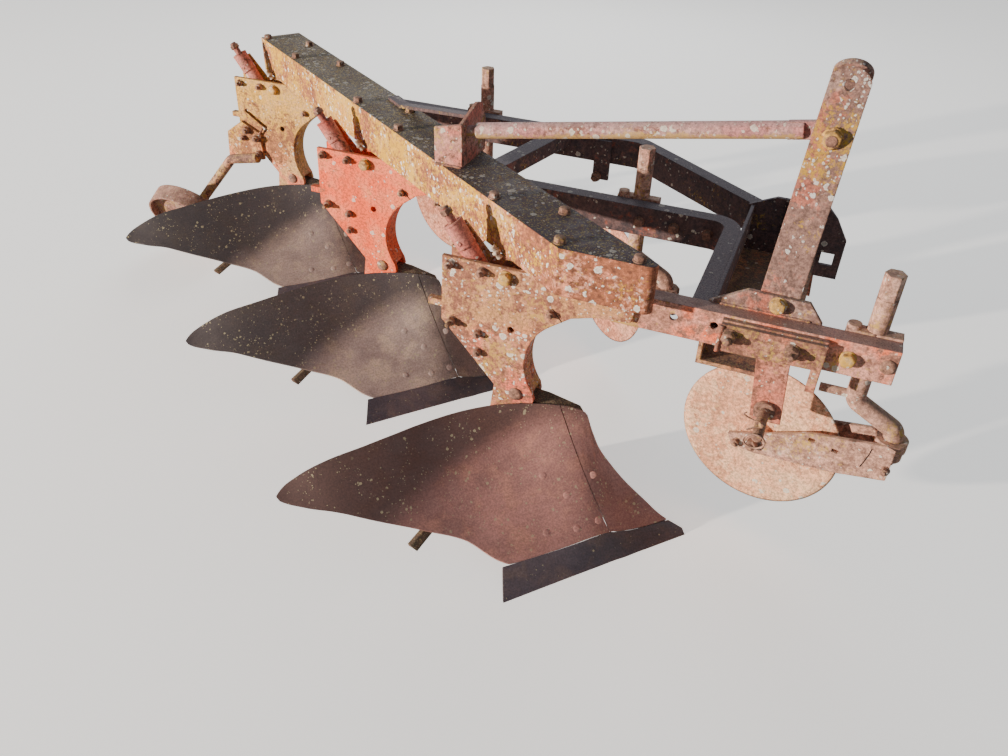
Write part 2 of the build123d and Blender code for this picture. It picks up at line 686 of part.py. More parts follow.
for number, shift in enumerate(furrow_shifts, start=1):
    keep(f"mouldboard_{number}", moved(mouldboard, shift))
    keep(f"board_brace_{number}", moved(board_brace.part, shift))
    keep(f"shin_{number}", moved(shin, shift))
    keep(f"share_{number}", moved(share, shift))
    keep(f"landside_{number}", moved(landside.part, shift))
    keep(f"frog_{number}", moved(frog.part, shift))

# Trip spring barrels, leaning back out of the tops of the legs
BARREL_RADIUS = 22
BARREL_ROD = 9.5
BARREL_LEAN = Vector(-0.57, 0, 0.821)
BARREL_FOOT = Vector(-51, 24, 560)
BARREL_TRUNNION = 16
with BuildPart() as barrel:
    with BuildSketch(Plane(origin=(BARREL_FOOT.X, LEG_INNER, BARREL_FOOT.Z), z_dir=(0, 1, 0))):
        Circle(BARREL_TRUNNION)
    extrude(amount=RAIL_FLANGE)
    with BuildSketch(Plane(origin=BARREL_FOOT, x_dir=(0, 1, 0), z_dir=BARREL_LEAN)):
        Circle(BARREL_ROD)
    extrude(amount=166)
    with BuildSketch(Plane(origin=BARREL_FOOT + BARREL_LEAN * 73, x_dir=(0, 1, 0), z_dir=BARREL_LEAN)):
        Circle(BARREL_RADIUS)
    extrude(amount=58)
for number, shift in enumerate(furrow_shifts, start=1):
    keep(f"spring_barrel_{number}", moved(barrel.part, shift))

# Rolling coulters: stem in a clamp behind the rail, cranked forward and down to the eye
STEM_X = 732
STEM_RADIUS = 19.5
STEM_TOP = 727
STEM_NECK = 486
COULTER_Y = LEG_OUTER + 0.3 + STEM_RADIUS
CLAMP_REAR = 677
CLAMP_FRONT = 779
CLAMP_LOW = 548
CLAMP_TOP = 608
CLAMP_DEPTH = 26
CLAMP_BAND = 28
CLAMP_BAND_DROP = 8
CLAMP_KNOB = 13
EYE_X = 823
EYE_RADIUS = 28
EYE_LOW = 330
EYE_TOP = 374
EYE_PIN = 14
EYE_COLLAR = 31
EYE_COLLAR_DEPTH = 23
CRANK_RADIUS = 19.5
CRANK_BEND = 24
HEX_LENGTH = 50
STUB_RADIUS = 9
STUB_X = 662
with BuildPart() as coulter_stem:
    with BuildSketch(Plane.XY.offset(STEM_NECK)):
        with Locations((STEM_X, COULTER_Y)):
            Circle(STEM_RADIUS)
    extrude(amount=STEM_TOP - HEX_LENGTH - STEM_NECK)
    with BuildSketch(Plane.XY.offset(STEM_TOP - HEX_LENGTH)):
        with Locations((STEM_X, COULTER_Y)):
            RegularPolygon(STEM_RADIUS, 6)
    extrude(amount=HEX_LENGTH)
    with BuildLine() as crank_path:
        FilletPolyline(
            (STEM_X, COULTER_Y, STEM_NECK + 14),
            (STEM_X, COULTER_Y, 444),
            (EYE_X, COULTER_Y, 393),
            (EYE_X, COULTER_Y, EYE_TOP + 1),
            radius=CRANK_BEND,
        )
    with BuildSketch(Plane.XY.offset(STEM_NECK + 14)):
        with Locations((STEM_X, COULTER_Y)):
            Circle(CRANK_RADIUS)
    sweep(path=crank_path.line)
    with BuildSketch(Plane(origin=(STEM_X, COULTER_Y, 455), x_dir=(0, 1, 0), z_dir=(-1, 0, 0))):
        Circle(STUB_RADIUS)
    extrude(amount=STEM_X - STUB_X)
    with BuildSketch(Plane.XY.offset(EYE_LOW - 14)):
        with Locations((EYE_X, COULTER_Y)):
            Circle(EYE_PIN)
    extrude(amount=EYE_TOP - EYE_LOW + 20)

with BuildPart() as coulter_clamp:
    with BuildSketch(Plane.XY.offset(CLAMP_LOW)):
        with Locations(((CLAMP_REAR + CLAMP_FRONT) / 2, LEG_OUTER + CLAMP_DEPTH / 2)):
            Rectangle(CLAMP_FRONT - CLAMP_REAR, CLAMP_DEPTH)
    extrude(amount=CLAMP_TOP - CLAMP_LOW)
    with BuildSketch(Plane.XY.offset(CLAMP_LOW)):
        with Locations((STEM_X, COULTER_Y)):
            Circle(CLAMP_BAND)
    extrude(amount=CLAMP_TOP - CLAMP_BAND_DROP - CLAMP_LOW)
    with BuildSketch(Plane.XY.offset(CLAMP_LOW)):
        with Locations((CLAMP_REAR + CLAMP_KNOB, LEG_OUTER + CLAMP_KNOB)):
            Circle(CLAMP_KNOB)
    extrude(amount=CLAMP_TOP + CLAMP_BAND_DROP - CLAMP_LOW)
    with BuildSketch(Plane.XY.offset(CLAMP_LOW)):
        with Locations((STEM_X, COULTER_Y)):
            Circle(STEM_RADIUS)
        with Locations((STEM_X, LEG_OUTER)):
            Rectangle(2 * CLAMP_BAND, 2 * CLAMP_BAND, align=(Align.CENTER, Align.MAX))
    extrude(amount=CLAMP_TOP - CLAMP_LOW, mode=Mode.SUBTRACT)

# Yoke: an eye that swivels on the stem's pin, two arms back to the disc's axle
DISC_REACH = 257
DISC_X = EYE_X - DISC_REACH
DISC_Z = 257
DISC_RADIUS = 178
DISC_THICKNESS = 5
DISC_HUB_RADIUS = 32
DISC_HUB = 44
ARM_OUT = 25
ARM = 9
AXLE_RADIUS = 10
ARM_SLOTS = ((682, 321), (731, 316))
ARM_SLOT_SIZE = (13, 9)
COULTER_SWINGS = (12.5, 43, 18)
COULTER_SLIDES = (0, 0, -17)
coulter_shifts = [(shift[0] + slide, shift[1]) for shift, slide in zip(furrow_shifts, COULTER_SLIDES)]
with BuildPart() as coulter_yoke:
    with BuildSketch(Plane.XY.offset(EYE_LOW)):
        with Locations((EYE_X, COULTER_Y)):
            Circle(EYE_RADIUS)
    extrude(amount=EYE_TOP - EYE_LOW)
    with BuildSketch(Plane.XY.offset(EYE_TOP - EYE_COLLAR_DEPTH)):
        with Locations((EYE_X, COULTER_Y)):
            Circle(EYE_COLLAR)
    extrude(amount=EYE_COLLAR_DEPTH)
    for side in (-1, 1):
        arm_near = COULTER_Y + side * (ARM_OUT + ARM / 2) - ARM / 2
        add(
            side_plate(
                [
                    (EYE_X + 16, 292),
                    (EYE_X + 16, EYE_TOP - 4),
                    (EYE_X, EYE_TOP),
                    (EYE_X - 149, 335),
                    (DISC_X + 4, 282),
                    (DISC_X - 58, 257),
                    (DISC_X - 46, 230),
                    (DISC_X + 4, 230),
                    (EYE_X - 83, 262),
                ],
                arm_near,
                ARM,
            )
        )
    with BuildSketch(Plane(origin=(DISC_X, COULTER_Y - ARM_OUT - ARM, DISC_Z), z_dir=(0, 1, 0))):
        Circle(AXLE_RADIUS)
    extrude(amount=2 * (ARM_OUT + ARM))
    with BuildSketch(Plane(origin=(0, COULTER_Y - ARM_OUT - ARM, 0), x_dir=(1, 0, 0), z_dir=(0, -1, 0))):
        with Locations(*ARM_SLOTS):
            Rectangle(*ARM_SLOT_SIZE)
    extrude(amount=-ARM, mode=Mode.SUBTRACT)
    with BuildSketch(Plane.XY.offset(EYE_LOW)):
        with Locations((EYE_X, COULTER_Y)):
            Circle(EYE_PIN + PIN_FIT)
    extrude(amount=EYE_TOP - EYE_LOW, mode=Mode.SUBTRACT)

with BuildPart() as coulter_disc:
    with BuildSketch(Plane(origin=(DISC_X, COULTER_Y, DISC_Z), x_dir=(1, 0, 0), z_dir=(0, 0, 1))):
        with BuildLine():
            Polyline(
                (AXLE_RADIUS + PIN_FIT, -DISC_HUB / 2),
                (DISC_HUB_RADIUS, -DISC_HUB / 2),
                (DISC_HUB_RADIUS + 6, -DISC_THICKNESS / 2),
                (DISC_RADIUS - 14, -DISC_THICKNESS / 2),
                (DISC_RADIUS, 0),
                (DISC_RADIUS - 14, DISC_THICKNESS / 2),
                (DISC_HUB_RADIUS + 6, DISC_THICKNESS / 2),
                (DISC_HUB_RADIUS, DISC_HUB / 2),
                (AXLE_RADIUS + PIN_FIT, DISC_HUB / 2),
                close=True,
            )
        make_face()
    revolve(axis=Axis((DISC_X, COULTER_Y, DISC_Z), (0, 1, 0)))
eye_axis = Axis((EYE_X, COULTER_Y, 0), (0, 0, 1))
for number, (shift, swing) in enumerate(zip(coulter_shifts, COULTER_SWINGS), start=1):
    keep(f"coulter_stem_{number}", moved(coulter_stem.part, shift))
    keep(f"coulter_clamp_{number}", moved(coulter_clamp.part, shift))
    keep(f"coulter_yoke_{number}", moved(coulter_yoke.part.rotate(eye_axis, -swing), shift))
    keep(f"coulter_disc_{number}", moved(coulter_disc.part.rotate(eye_axis, -swing), shift))

# Rear furrow wheel: leans its top to the furrow side, on a bent round axle
WHEEL_LEAN = radians(30)
WHEEL_RADIUS = 140
WHEEL_WIDTH = 56
RIM_WALL = 7
WHEEL_X = -1424
WHEEL_Y = 673
WHEEL_WEB = 8
WHEEL_HUB_RADIUS = 30
WHEEL_BORE = 16
WHEEL_HUB = 70
wheel_z = WHEEL_RADIUS * cos(WHEEL_LEAN) + WHEEL_WIDTH / 2 * sin(WHEEL_LEAN)
wheel_centre = Vector(WHEEL_X, WHEEL_Y, wheel_z)
wheel_axis = Vector(0, cos(WHEEL_LEAN), sin(WHEEL_LEAN))
with BuildPart() as rear_wheel:
    with BuildSketch(Plane(origin=wheel_centre, x_dir=(1, 0, 0), z_dir=Vector(1, 0, 0).cross(wheel_axis))):
        with BuildLine():
            Polyline(
                (WHEEL_BORE, -WHEEL_HUB / 2),
                (WHEEL_HUB_RADIUS, -WHEEL_HUB / 2),
                (WHEEL_HUB_RADIUS, -WHEEL_WEB / 2),
                (WHEEL_RADIUS - RIM_WALL, -WHEEL_WEB / 2),
                (WHEEL_RADIUS - RIM_WALL, -WHEEL_WIDTH / 2),
                (WHEEL_RADIUS, -WHEEL_WIDTH / 2),
                (WHEEL_RADIUS, WHEEL_WIDTH / 2),
                (WHEEL_RADIUS - RIM_WALL, WHEEL_WIDTH / 2),
                (WHEEL_RADIUS - RIM_WALL, WHEEL_WEB / 2),
                (WHEEL_HUB_RADIUS, WHEEL_WEB / 2),
                (WHEEL_HUB_RADIUS, WHEEL_HUB / 2),
                (WHEEL_BORE, WHEEL_HUB / 2),
                close=True,
            )
        make_face()
    revolve(axis=Axis(wheel_centre, wheel_axis))
keep("rear_wheel", rear_wheel.part)

# Slotted bracket on the rear leg, with the axle's upright seated on its near face
REAR_BRACKET = 10
leg_shift = furrow_shifts[-1]
bracket_near = leg_shift[1] + LEG_NEAR - REAR_BRACKET
bracket_points = [(-200, 318), (-190, 420), (-129, 462), (-63, 432), (-58, 343)]
with BuildPart() as wheel_bracket:
    add(side_plate([(x + leg_shift[0], z) for x, z in bracket_points], bracket_near, REAR_BRACKET))
keep("wheel_bracket", wheel_bracket.part)

axle_radius = WHEEL_BORE - PIN_FIT
axle_y = bracket_near - axle_radius
axle_out = wheel_centre + wheel_axis * (WHEEL_HUB / 2 + 40)
with BuildPart() as wheel_axle:
    with BuildLine() as axle_path:
        FilletPolyline(
            (leg_shift[0] - 70, axle_y, 352),
            (leg_shift[0] - 180, axle_y, 330),
            axle_out,
            wheel_centre - wheel_axis * (WHEEL_HUB / 2 + 12),
            radius=24,
        )
    with BuildSketch(Plane(origin=axle_path.line @ 0, z_dir=axle_path.line % 0)):
        Circle(axle_radius)
    sweep(path=axle_path.line)
keep("wheel_axle", wheel_axle.part)

# Origin: middle of the whole plough's box, on the ground
lows = [shape.bounding_box().min for shape in pieces.values()]
highs = [shape.bounding_box().max for shape in pieces.values()]
origin_x = (min(low.X for low in lows) + max(high.X for high in highs)) / 2
origin_y = (min(low.Y for low in lows) + max(high.Y for high in highs)) / 2
origin_z = min(low.Z for low in lows)
ORIGIN = Vector(origin_x, origin_y, origin_z)
for name, shape in pieces.items():
    placed = shape.moved(Location(-ORIGIN))
    placed.label = name
    export_step(placed, f"parts/{name}.step")
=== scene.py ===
"""Mounted mouldboard plough: looks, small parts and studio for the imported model."""

import math

import bmesh
import bpy
import numpy as np
from mathutils import Matrix, Vector


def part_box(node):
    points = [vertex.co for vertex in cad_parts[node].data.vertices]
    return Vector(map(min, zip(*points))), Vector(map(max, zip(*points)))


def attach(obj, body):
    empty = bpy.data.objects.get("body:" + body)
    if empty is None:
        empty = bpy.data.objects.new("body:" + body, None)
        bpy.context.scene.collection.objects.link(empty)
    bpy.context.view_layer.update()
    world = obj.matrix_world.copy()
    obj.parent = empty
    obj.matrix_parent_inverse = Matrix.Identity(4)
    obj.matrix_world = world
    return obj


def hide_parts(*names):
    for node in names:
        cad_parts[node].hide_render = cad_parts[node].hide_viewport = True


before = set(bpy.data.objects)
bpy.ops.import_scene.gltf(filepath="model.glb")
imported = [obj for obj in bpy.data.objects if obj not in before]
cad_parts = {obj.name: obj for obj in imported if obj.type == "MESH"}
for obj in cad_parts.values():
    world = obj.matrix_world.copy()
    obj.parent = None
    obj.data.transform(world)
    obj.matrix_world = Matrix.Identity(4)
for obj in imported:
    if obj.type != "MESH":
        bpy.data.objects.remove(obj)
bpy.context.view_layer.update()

# Place: lengths below are in the plough's own layout, in millimetres from the ground below the
# front leg's upper bolt, where the right rail starts 235 ahead, 5 in and 530 up. Each further
# bottom stands a furrow back and to the land side.
LAYOUT = np.array(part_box("right_rail")[0]) * 1000 - (235, 5, 530)
FURROWS = [np.array([-561.0 * i, 406.0 * i, 0.0]) for i in range(3)]


def spot(point, furrow=0):
    """A layout point of a furrow, in metres in the shared frame."""
    return (np.asarray(point, float) + FURROWS[furrow] + LAYOUT) / 1000


def placed(name, data):
    """An object with this data, put in the scene."""
    thing = bpy.data.objects.new(name, data)
    bpy.context.scene.collection.objects.link(thing)
    return thing


# Camera: it stands ahead of the plough on the furrow side and looks down on the front bottom.
# Its lens, its place and its three angles were fitted to the plough's straight edges.
SENSOR_WIDTH, FOCAL_PIXELS, PICTURE_WIDTH = 36, 858.825, 1008
camera_data = bpy.data.cameras.new("camera")
camera_data.sensor_width = SENSOR_WIDTH
camera_data.lens = SENSOR_WIDTH * FOCAL_PIXELS / PICTURE_WIDTH
camera = placed("camera", camera_data)
yaw, pitch, roll = -0.365366744, 0.627288968, 0.0337810754
stand = spot((570.23, -1466.059, 1460.156))
right = Vector((math.cos(yaw), -math.sin(yaw), 0))
ahead = Vector((math.sin(yaw) * math.cos(pitch), math.cos(yaw) * math.cos(pitch), -math.sin(pitch)))
above = right.cross(ahead)
frame_right = math.cos(roll) * right + math.sin(roll) * above
frame_up = math.cos(roll) * above - math.sin(roll) * right
facing = Matrix((frame_right, frame_up, -ahead)).transposed().to_4x4()
camera.matrix_world = Matrix.Translation(stand) @ facing
bpy.context.scene.camera = camera


def fill(tree, node, inputs):
    """Set or link a node's inputs."""
    for key, value in inputs.items():
        if isinstance(value, bpy.types.NodeSocket):
            tree.links.new(value, node.inputs[key])
        else:
            node.inputs[key].default_value = value
    return node


def add_node(tree, kind, inputs, **settings):
    """Add a shader node with its settings and inputs."""
    node = tree.nodes.new("ShaderNode" + kind)
    for key, value in settings.items():
        setattr(node, key, value)
    return fill(tree, node, inputs)


def new_material(name):
    """A material with its node tree and its shader."""
    material = bpy.data.materials.new(name)
    material.use_nodes = True
    return material, material.node_tree, material.node_tree.nodes["Principled BSDF"]


def maths(tree, operation, *values):
    """A maths node's result."""
    return add_node(tree, "Math", dict(enumerate(values)), operation=operation).outputs[0]


def seen_plainly(tree):
    """1 for rays of the camera, off a gloss or through glass, and 0 for those that light."""
    path = add_node(tree, "LightPath", {})
    seen = maths(tree, "MAXIMUM", path.outputs["Is Camera Ray"], path.outputs["Is Glossy Ray"])
    return maths(tree, "MAXIMUM", seen, path.outputs["Is Transmission Ray"])


# Studio: a pale matt floor, a low warm key lamp from the rear of the furrow side, set like an
# evening sun, a weak fill and back light, and a cool sky that only the lighting sees.
FLOOR_HALF = 14
FLOOR_LIT, FLOOR_SEEN, FLOOR_GLOW = (0.30, 0.29, 0.27, 1), (0.86, 0.85, 0.83, 1), 0.74
corners = [(x * FLOOR_HALF, y * FLOOR_HALF, 0) for x, y in ((-1, -1), (1, -1), (1, 1), (-1, 1))]
floor_mesh = bpy.data.meshes.new("studio_floor")
floor_mesh.from_pydata(corners, [], [(0, 1, 2, 3)])
floor_finish, ground, shader = new_material("studio_floor")
seen = seen_plainly(ground)
paler = add_node(ground, "Mix", {0: seen, 6: FLOOR_LIT, 7: FLOOR_SEEN}, data_type="RGBA")
shine = maths(ground, "MULTIPLY", seen, FLOOR_GLOW)
fill(ground, shader, {"Base Color": paler.outputs[2], "Roughness": 0.9, "Emission Strength": shine})
fill(ground, shader, {"Emission Color": (1.0, 0.985, 0.955, 1)})
floor_mesh.materials.append(floor_finish)
placed("studio_floor", floor_mesh)

world = bpy.data.worlds.new("studio")
bpy.context.scene.world = world
world.use_nodes = True
sky = world.node_tree
sky.nodes.clear()
glow = add_node(sky, "Background", {"Color": (0.66, 0.82, 1.0, 1), "Strength": 0.2})
white = add_node(sky, "Background", {"Color": (0.93, 0.94, 0.95, 1), "Strength": 0.9})
inputs = {0: seen_plainly(sky), 1: glow.outputs[0], 2: white.outputs[0]}
both = add_node(sky, "MixShader", inputs)
add_node(sky, "OutputWorld", {0: both.outputs[0]})

for name, place, aim, size, power, colour in (
    ("key_lamp", (-7.8, -7.3, 1.85), (0.1, 0, 0.4), 0.26, 2650, (1.0, 0.89, 0.78)),
    ("fill_lamp", (4.0, -3.2, 2.8), (0, 0, 0.3), 3.0, 9, (0.95, 0.97, 1.0)),
    ("back_lamp", (-1.0, 4.2, 3.0), (0, 0, 0.3), 3.0, 80, (0.97, 0.98, 1.0)),
):
    lamp_data = bpy.data.lights.new(name, "AREA")
    lamp_data.shape = "DISK"
    lamp_data.size = size
    lamp_data.energy = power
    lamp_data.color = colour
    lamp = placed(name, lamp_data)
    lamp.location = place
    lamp.rotation_euler = (Vector(aim) - Vector(place)).to_track_quat("-Z", "Y").to_euler()
    lamp.visible_camera = False


# Lichen: pale ragged blotches with a denser heart. It grows in colonies on old paint, in two
# sizes, on every steel piece that has stood outside.
def times(tree, *values):
    """Two values multiplied."""
    return maths(tree, "MULTIPLY", *values)


def scaled(tree, value, factor, more):
    """A value multiplied by a factor, with more added."""
    return maths(tree, "MULTIPLY_ADD", value, factor, more)


def vectors(tree, operation, *values):
    """A vector maths node."""
    inputs = dict(enumerate(values))
    return add_node(tree, "VectorMath", inputs, operation=operation)


def ramp(tree, value, low, high, to_low=0.0, to_high=1.0):
    """A value eased from one range to another."""
    inputs = {0: value, 1: low, 2: high, 3: to_low, 4: to_high}
    return add_node(tree, "MapRange", inputs, interpolation_type="SMOOTHSTEP").outputs[0]


def mixed(tree, factor, first, second, mode="MIX"):
    """Two colours mixed by a factor."""
    inputs = {0: factor, 6: first, 7: second}
    return add_node(tree, "Mix", inputs, data_type="RGBA", blend_type=mode).outputs[2]


def noise(tree, vector, scale, detail=5.0, roughness=0.6):
    """A cloud noise's strength."""
    inputs = {"Vector": vector, "Scale": scale, "Detail": detail, "Roughness": roughness}
    return add_node(tree, "TexNoise", inputs).outputs[0]


def new_group(name, takes, gives):
    """A node group with its sockets, the sockets it is given, and its output node."""
    group = bpy.data.node_groups.new(name, "ShaderNodeTree")
    for label, kind in takes.items():
        group.interface.new_socket(label, in_out="INPUT", socket_type=kind)
    for label, kind in gives.items():
        group.interface.new_socket(label, in_out="OUTPUT", socket_type=kind)
    given, result = group.nodes.new("NodeGroupInput"), group.nodes.new("NodeGroupOutput")
    return group, given.outputs, result


COLOR, FLOAT, VECTOR = "NodeSocketColor", "NodeSocketFloat", "NodeSocketVector"

lichen, given, result = new_group(
    "lichen", {"Vector": VECTOR, "Share": FLOAT}, {"Mask": FLOAT, "Heart": FLOAT}
)
place = given["Vector"]
colony = ramp(lichen, noise(lichen, place, 12.0, 3.0), 0.4, 0.66, 0.12, 1.7)
allowed = times(lichen, given["Share"], colony)
ragged = add_node(lichen, "TexNoise", {"Vector": place, "Scale": 190.0, "Detail": 3.0})
bent = vectors(lichen, "MULTIPLY_ADD", ragged.outputs["Color"], (0.007,) * 3, place).outputs[0]
masks, hearts = [], []
for scale, crowding in ((58.0, 0.34), (150.0, 0.3)):
    cells = add_node(lichen, "TexVoronoi", {"Vector": bent, "Scale": scale})
    chance = add_node(lichen, "SeparateColor", {0: cells.outputs["Color"]})
    grows = ramp(lichen, scaled(lichen, allowed, -crowding, chance.outputs[0]), 0.0, -0.03)
    radius = scaled(lichen, chance.outputs[1], 0.32, 0.2)
    inside = maths(lichen, "SUBTRACT", cells.outputs["Distance"], radius)
    masks.append(times(lichen, grows, ramp(lichen, inside, 0.0, -0.05)))
    hearts.append(times(lichen, masks[-1], ramp(lichen, inside, -0.22, -0.12, 0.35, 1.0)))
mask, heart = (maths(lichen, "MAXIMUM", *pair) for pair in (masks, hearts))
fill(lichen, result, {"Mask": mask, "Heart": heart})

# Edge wear: paint goes first from the corners of a plate, where the cut steel is rounded off
# and the coat is thinnest. Every weathered piece has it.
edge_wear, given, result = new_group(
    "edge_wear", {"Vector": VECTOR}, {"Mask": FLOAT, "Normal": VECTOR}
)
soft = add_node(edge_wear, "Bevel", {"Radius": 0.004}, samples=4)
facing = add_node(edge_wear, "NewGeometry", {})
agree = vectors(edge_wear, "DOT_PRODUCT", soft.outputs[0], facing.outputs["Normal"])
chipped = noise(edge_wear, given["Vector"], 60.0, 5.0)
worn = maths(edge_wear, "SUBTRACT", 1.0, agree.outputs["Value"])
bare = times(edge_wear, ramp(edge_wear, worn, 0.02, 0.16), ramp(edge_wear, chipped, 0.35, 0.6))
fill(edge_wear, result, {"Mask": bare, "Normal": soft.outputs[0]})

# Weathering: faded paint over rust, with dark crust on what faces up, rain streaks on what
# stands upright, pale and golden lichen, and worn edges. Every old steel piece wears it.
def tone(red, green, blue):
    """A colour written as screen values from 0 to 255."""
    return (*[(value / 255) ** 2.2 for value in (red, green, blue)], 1)


COATS = ("Paint", "Faded", "Rust", "Dark", "Crust")
SHARES = ("Cover", "Pale share", "Gold share", "Crust share")
takes = dict.fromkeys((*COATS, "Speck", "Pale", "Gold"), COLOR) | dict.fromkeys(SHARES, FLOAT)
weathering, given, result = new_group(
    "weathering", {"Vector": VECTOR} | takes, {"Color": COLOR, "Roughness": FLOAT, "Height": FLOAT}
)
tree = weathering
place = given["Vector"]
broad = noise(tree, place, 6.5, 6.0, 0.58)
aside = vectors(tree, "ADD", place, (3.1, 7.7, 1.3)).outputs[0]
other = noise(tree, aside, 11.0, 5.0)
middle = noise(tree, place, 62.0, 8.0, 0.7)
fine = noise(tree, place, 330.0, 3.0, 0.6)
wear = add_node(tree, "Group", {"Vector": place}, node_tree=edge_wear)
film = maths(tree, "ADD", times(tree, broad, 0.5), times(tree, middle, 0.5))
bare_at = scaled(tree, given["Cover"], -0.32, 0.66)
painted = ramp(tree, maths(tree, "SUBTRACT", film, bare_at), -0.02, 0.035)
painted = times(tree, painted, scaled(tree, wear.outputs["Mask"], -0.7, 1.0))
rusty = mixed(tree, ramp(tree, middle, 0.3, 0.58), given["Dark"], given["Rust"])
coat = mixed(tree, ramp(tree, other, 0.42, 0.58), given["Paint"], given["Faded"])
base = mixed(tree, painted, rusty, coat)
stretched = add_node(tree, "Mapping", {"Vector": place, "Scale": (1.0, 1.0, 0.1)})
streak = ramp(tree, noise(tree, stretched.outputs[0], 60.0, 4.0), 0.35, 0.65, 0.88, 1.08)
mottled = ramp(tree, noise(tree, place, 150.0, 5.0, 0.72), 0.35, 0.64, 0.6, 1.28)
grainy = times(tree, times(tree, mottled, streak), ramp(tree, fine, 0.3, 0.7, 0.84, 1.14))
grey = add_node(tree, "CombineColor", {0: grainy, 1: grainy, 2: grainy})
base = mixed(tree, 1.0, base, grey.outputs[0], "MULTIPLY")
golden = times(tree, noise(tree, place, 120.0, 7.0, 0.76), 0.6)
golden = maths(tree, "ADD", golden, times(tree, other, 0.4))
golden_at = scaled(tree, given["Gold share"], -0.2, 0.6)
golden = ramp(tree, maths(tree, "SUBTRACT", golden, golden_at), -0.015, 0.06)
golden = times(tree, golden, ramp(tree, fine, 0.3, 0.55, 0.45, 0.85))
base = mixed(tree, golden, base, given["Gold"])
geometry = add_node(tree, "NewGeometry", {})
upward = add_node(tree, "SeparateXYZ", {0: geometry.outputs["Normal"]}).outputs[2]
crusted = times(tree, ramp(tree, upward, 0.4, 0.85), given["Crust share"])
crusted = times(tree, crusted, ramp(tree, middle, 0.28, 0.5, 0.75, 1.0))
speckled = noise(tree, place, 300.0, 4.0, 0.62)
crust = mixed(tree, ramp(tree, speckled, 0.53, 0.6), given["Crust"], given["Speck"])
crust = mixed(tree, ramp(tree, speckled, 0.4, 0.34), crust, tone(46, 38, 40))
base = mixed(tree, crusted, base, crust)
height = maths(tree, "ADD", times(tree, fine, 0.35), times(tree, middle, 0.5))
height = scaled(tree, painted, 0.2, height)
inputs = {"Vector": place, "Share": given["Pale share"]}
growth = add_node(tree, "Group", inputs, node_tree=lichen)
thin = mixed(tree, 0.45, given["Pale"], base)
rosette = mixed(tree, growth.outputs["Heart"], thin, given["Pale"])
sparse = times(tree, ramp(tree, fine, 0.32, 0.55, 0.6, 1.0), scaled(tree, crusted, -0.5, 1.0))
base = mixed(tree, times(tree, growth.outputs["Mask"], sparse), base, rosette)
grown = maths(tree, "MAXIMUM", times(tree, golden, 0.5), growth.outputs["Mask"])
height = scaled(tree, grown, 0.35, height)
rough = scaled(tree, painted, -0.16, 0.88)
rough = maths(tree, "MAXIMUM", rough, times(tree, grown, 0.93))
fill(tree, result, {"Color": base, "Roughness": rough, "Height": height})


def weathered(name, *coats, shares, metallic=0.0, bump=0.0011, **colours):
    """A material that wears the weathering group, from the coats' screen colours, any other
    colour by its name, and the four shares, each in the order of their names above."""
    material, tree, shader = new_material(name)
    place = add_node(tree, "TexCoord", {}).outputs["Object"]
    others = {"Speck": (150, 144, 100), "Pale": (226, 218, 202), "Gold": (206, 166, 80)}
    colours = dict(zip(COATS, coats)) | others | colours
    inputs = {label: tone(*colour) for label, colour in colours.items()}
    inputs |= dict(zip(SHARES, shares)) | {"Vector": place}
    group = add_node(tree, "Group", inputs, node_tree=weathering)
    edge = add_node(tree, "Group", {"Vector": place}, node_tree=edge_wear)
    inputs = {"Height": group.outputs["Height"], "Normal": edge.outputs["Normal"]}
    relief = add_node(tree, "Bump", inputs | {"Distance": bump, "Strength": 1.0})
    worn = {"Base Color": group.outputs["Color"], "Roughness": group.outputs["Roughness"]}
    fill(tree, shader, worn | {"Normal": relief.outputs[0], "Metallic": metallic})
    return material


def dress(material, *starts):
    """Give a material to the CAD's nodes whose names start so."""
    for name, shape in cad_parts.items():
        if name.startswith(starts):
            shape.data.materials.clear()
            shape.data.materials.append(material)


def graded(material, socket, measure, low, high, first, second):
    """Turn one of the weathering's inputs from a first value to a second one along x, y or z,
    with the way a surface faces, or with the distance from a point."""
    tree = material.node_tree
    groups = [node for node in tree.nodes if node.type == "GROUP"]
    group = next(node for node in groups if node.node_tree == weathering)
    if measure == "up":
        source = add_node(tree, "NewGeometry", {}).outputs["Normal"]
    else:
        source = add_node(tree, "TexCoord", {}).outputs["Object"]
    if isinstance(measure, str):
        axis = {"x": 0, "y": 1, "z": 2, "up": 2}[measure]
        along = add_node(tree, "SeparateXYZ", {0: source}).outputs[axis]
    else:
        along = vectors(tree, "DISTANCE", source, measure).outputs["Value"]
    if measure != "up":
        cloud = maths(tree, "SUBTRACT", noise(tree, source, 9.0, 5.0, 0.6), 0.5)
        along = scaled(tree, cloud, (high - low) * 1.6, along)
    share = ramp(tree, along, low, high)
    if isinstance(first, tuple):
        value = mixed(tree, share, tone(*first), tone(*second))
    else:
        value = scaled(tree, share, second - first, first)
    tree.links.new(value, group.inputs[socket])


# Main beam: yellow ochre paint bleached over rust on its sides, redder towards the nose, and a
# dark crust with fine green gold lichen along its top.
beam_finish = weathered(
    "beam_paint", (206, 158, 92), (206, 170, 140), (174, 106, 76), (116, 72, 54), (68, 56, 62),
    shares=(0.52, 0.8, 0.6, 1.0), Pale=(244, 238, 226), Gold=(232, 178, 48), Speck=(158, 142, 88),
)
graded(beam_finish, "Paint", "x", 0.15, 0.5, (214, 150, 66), (228, 144, 112))
graded(beam_finish, "Faded", "x", 0.15, 0.5, (212, 168, 118), (230, 172, 150))
graded(beam_finish, "Gold share", "x", 0.2, 0.62, 0.56, 0.2)
graded(beam_finish, "Crust", "x", -0.25, 0.25, (84, 74, 72), (54, 44, 54))
graded(beam_finish, "Speck", "x", -0.25, 0.25, (168, 150, 92), (132, 118, 74))
dress(beam_finish, "main_beam")

